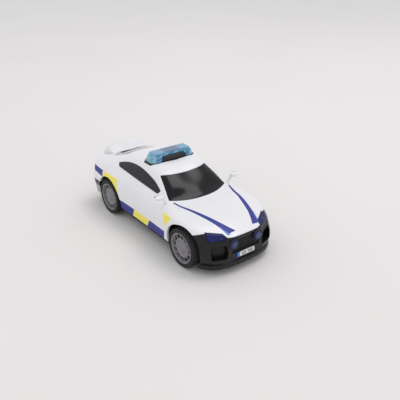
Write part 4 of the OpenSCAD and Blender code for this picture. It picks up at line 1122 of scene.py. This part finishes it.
# The lens is one clear blue plastic. Its tones by place are painted light: the pale patches are painted
# glints, the paler ends a painted highlight and the greyer middle of the lid a painted reflection.
painted_glints = place.stretched(1.0, 0.6, 1.4).noise(2.6, 1.0).above(0.5, 0.12)
sides = abs(y).above(14.5, 2.5)
lid = z.above(54.8, 0.4)
deep = painted_glints.choose(srgb(72, 154, 208), srgb(146, 212, 238))
ends = painted_glints.choose(srgb(132, 210, 240), srgb(204, 240, 250))
top = abs(y).above(6.5, 2.5).choose(srgb(146, 160, 192), srgb(168, 212, 242))
lid.choose(sides.choose(deep, ends), top).feeds("Base Color")
(0.08 + 0.06 * place.noise(2.0)).feeds("Roughness")
(0.5 + 0.5 * flute).raise_surface(0.012)
settle(clear_cover, cover_blue, "light_bar", ["lightbar_lens"], 20.0)
front_panel = prism("front_panel", rounded(panel_face, 0.3), "x", panel_back, panel_front)
bevelled(front_panel, lambda e: all(v.co.x > (panel_front - 0.1) * mm for v in e.verts), 0.3, 2)
settle(front_panel, base_black, "light_bar", ["lightbar_panel"])
tray = prism("reflector_tray", grown(bar_outline, -2.2), "z", bar_top + 0.06, bar_top + 0.7)
for s in (1, -1):
    carve(tray, "UNION", hull("bowl", [(bar_x + a, s * b, bar_top + c) for a in (-4.6, 1.5) for b, c in
                                       ((12.6, 0.5), (16.4, 0.5), (14.6, 3.2), (13.4, 3.2))]))
carve(tray, "DIFFERENCE",
      prism("notch", grown(panel_face, 2 * panel_gap), "x", panel_back - 2 * panel_gap, far))
for diode_y in (-10.5, -5, 5, 10.5):
    carve(tray, "DIFFERENCE", prism("seat", circle(bar_x - 0.6, diode_y, 1.9, 32), "z", bar_top + 0.6, far))
tray_white, place = finish("tray_white", Coat_Weight=0.3)
spread = place.noise(3.0, 3.0)
spread.choose(srgb(224, 228, 234), srgb(246, 248, 250)).feeds("Base Color")
(0.25 + 0.15 * spread).feeds("Roughness")
spread.raise_surface(0.02)
settle(tray, tray_white, "light_bar", ["lightbar_board"])

# Studio
# A pale floor that runs far past the frame, one large soft lamp overhead, and the camera where the
# photographer stood.
floor_half = 3000
floor_corners = [(a * floor_half, b * floor_half, 0) for a, b in ((-1, -1), (1, -1), (1, 1), (-1, 1))]
floor = mesh_piece("studio_floor", floor_corners, [(0, 1, 2, 3)])
floor_paper, place = finish("floor_paper", Specular_IOR_Level=0.2, Roughness=0.7)
shade = place.noise(240.0, 2.0)
shade.choose(srgb(238, 235, 232), srgb(243, 240, 237)).feeds("Base Color")
floor.data.materials.append(floor_paper)

world = bpy.data.worlds.new("studio")
bpy.context.scene.world = world
world.use_nodes = True
sky = world.node_tree.nodes["Background"].inputs
sky["Color"].default_value = srgb(244, 245, 248)
sky["Strength"].default_value = 0.85


def soft_lamp(name, place, aim, size, power):
    """A square soft box at a place in metres, pointed at another."""
    data = bpy.data.lights.new(name, "AREA")
    data.shape = "SQUARE"
    data.size = size
    data.energy = power
    lamp = bpy.data.objects.new(name, data)
    lamp.location = place
    lamp.rotation_euler = (Vector(aim) - Vector(place)).to_track_quat("-Z", "Y").to_euler()
    bpy.context.scene.collection.objects.link(lamp)


soft_lamp("overhead_box", (0.03, 0.44, 1.15), (0.0, 0.0, 0.0), 0.5, 2.7)

camera_data = bpy.data.cameras.new("photo_camera")
camera = bpy.data.objects.new("photo_camera", camera_data)
bpy.context.scene.collection.objects.link(camera)
camera_place = (0.2719, -0.1921, 0.1851)
azimuth, elevation, roll, view_angle = (math.radians(a) for a in (51.94, 26.60, 0.48, 42.81))
back = Vector((math.sin(azimuth) * math.cos(elevation), -math.cos(azimuth) * math.cos(elevation),
               math.sin(elevation)))
level = Vector((0, 0, 1)).cross(back).normalized()
upright = back.cross(level)
right = level * math.cos(roll) + upright * math.sin(roll)
up = upright * math.cos(roll) - level * math.sin(roll)
camera.matrix_world = Matrix.Translation(camera_place) @ Matrix((right, up, back)).transposed().to_4x4()
camera_data.sensor_width = 36.0
camera_data.lens = camera_data.sensor_width / 2 / math.tan(view_angle / 2)
camera_data.clip_start, camera_data.clip_end = 0.005, 20.0
bpy.context.scene.camera = camera
bpy.context.scene.view_settings.view_transform = "Standard"

bpy.context.view_layer.update()
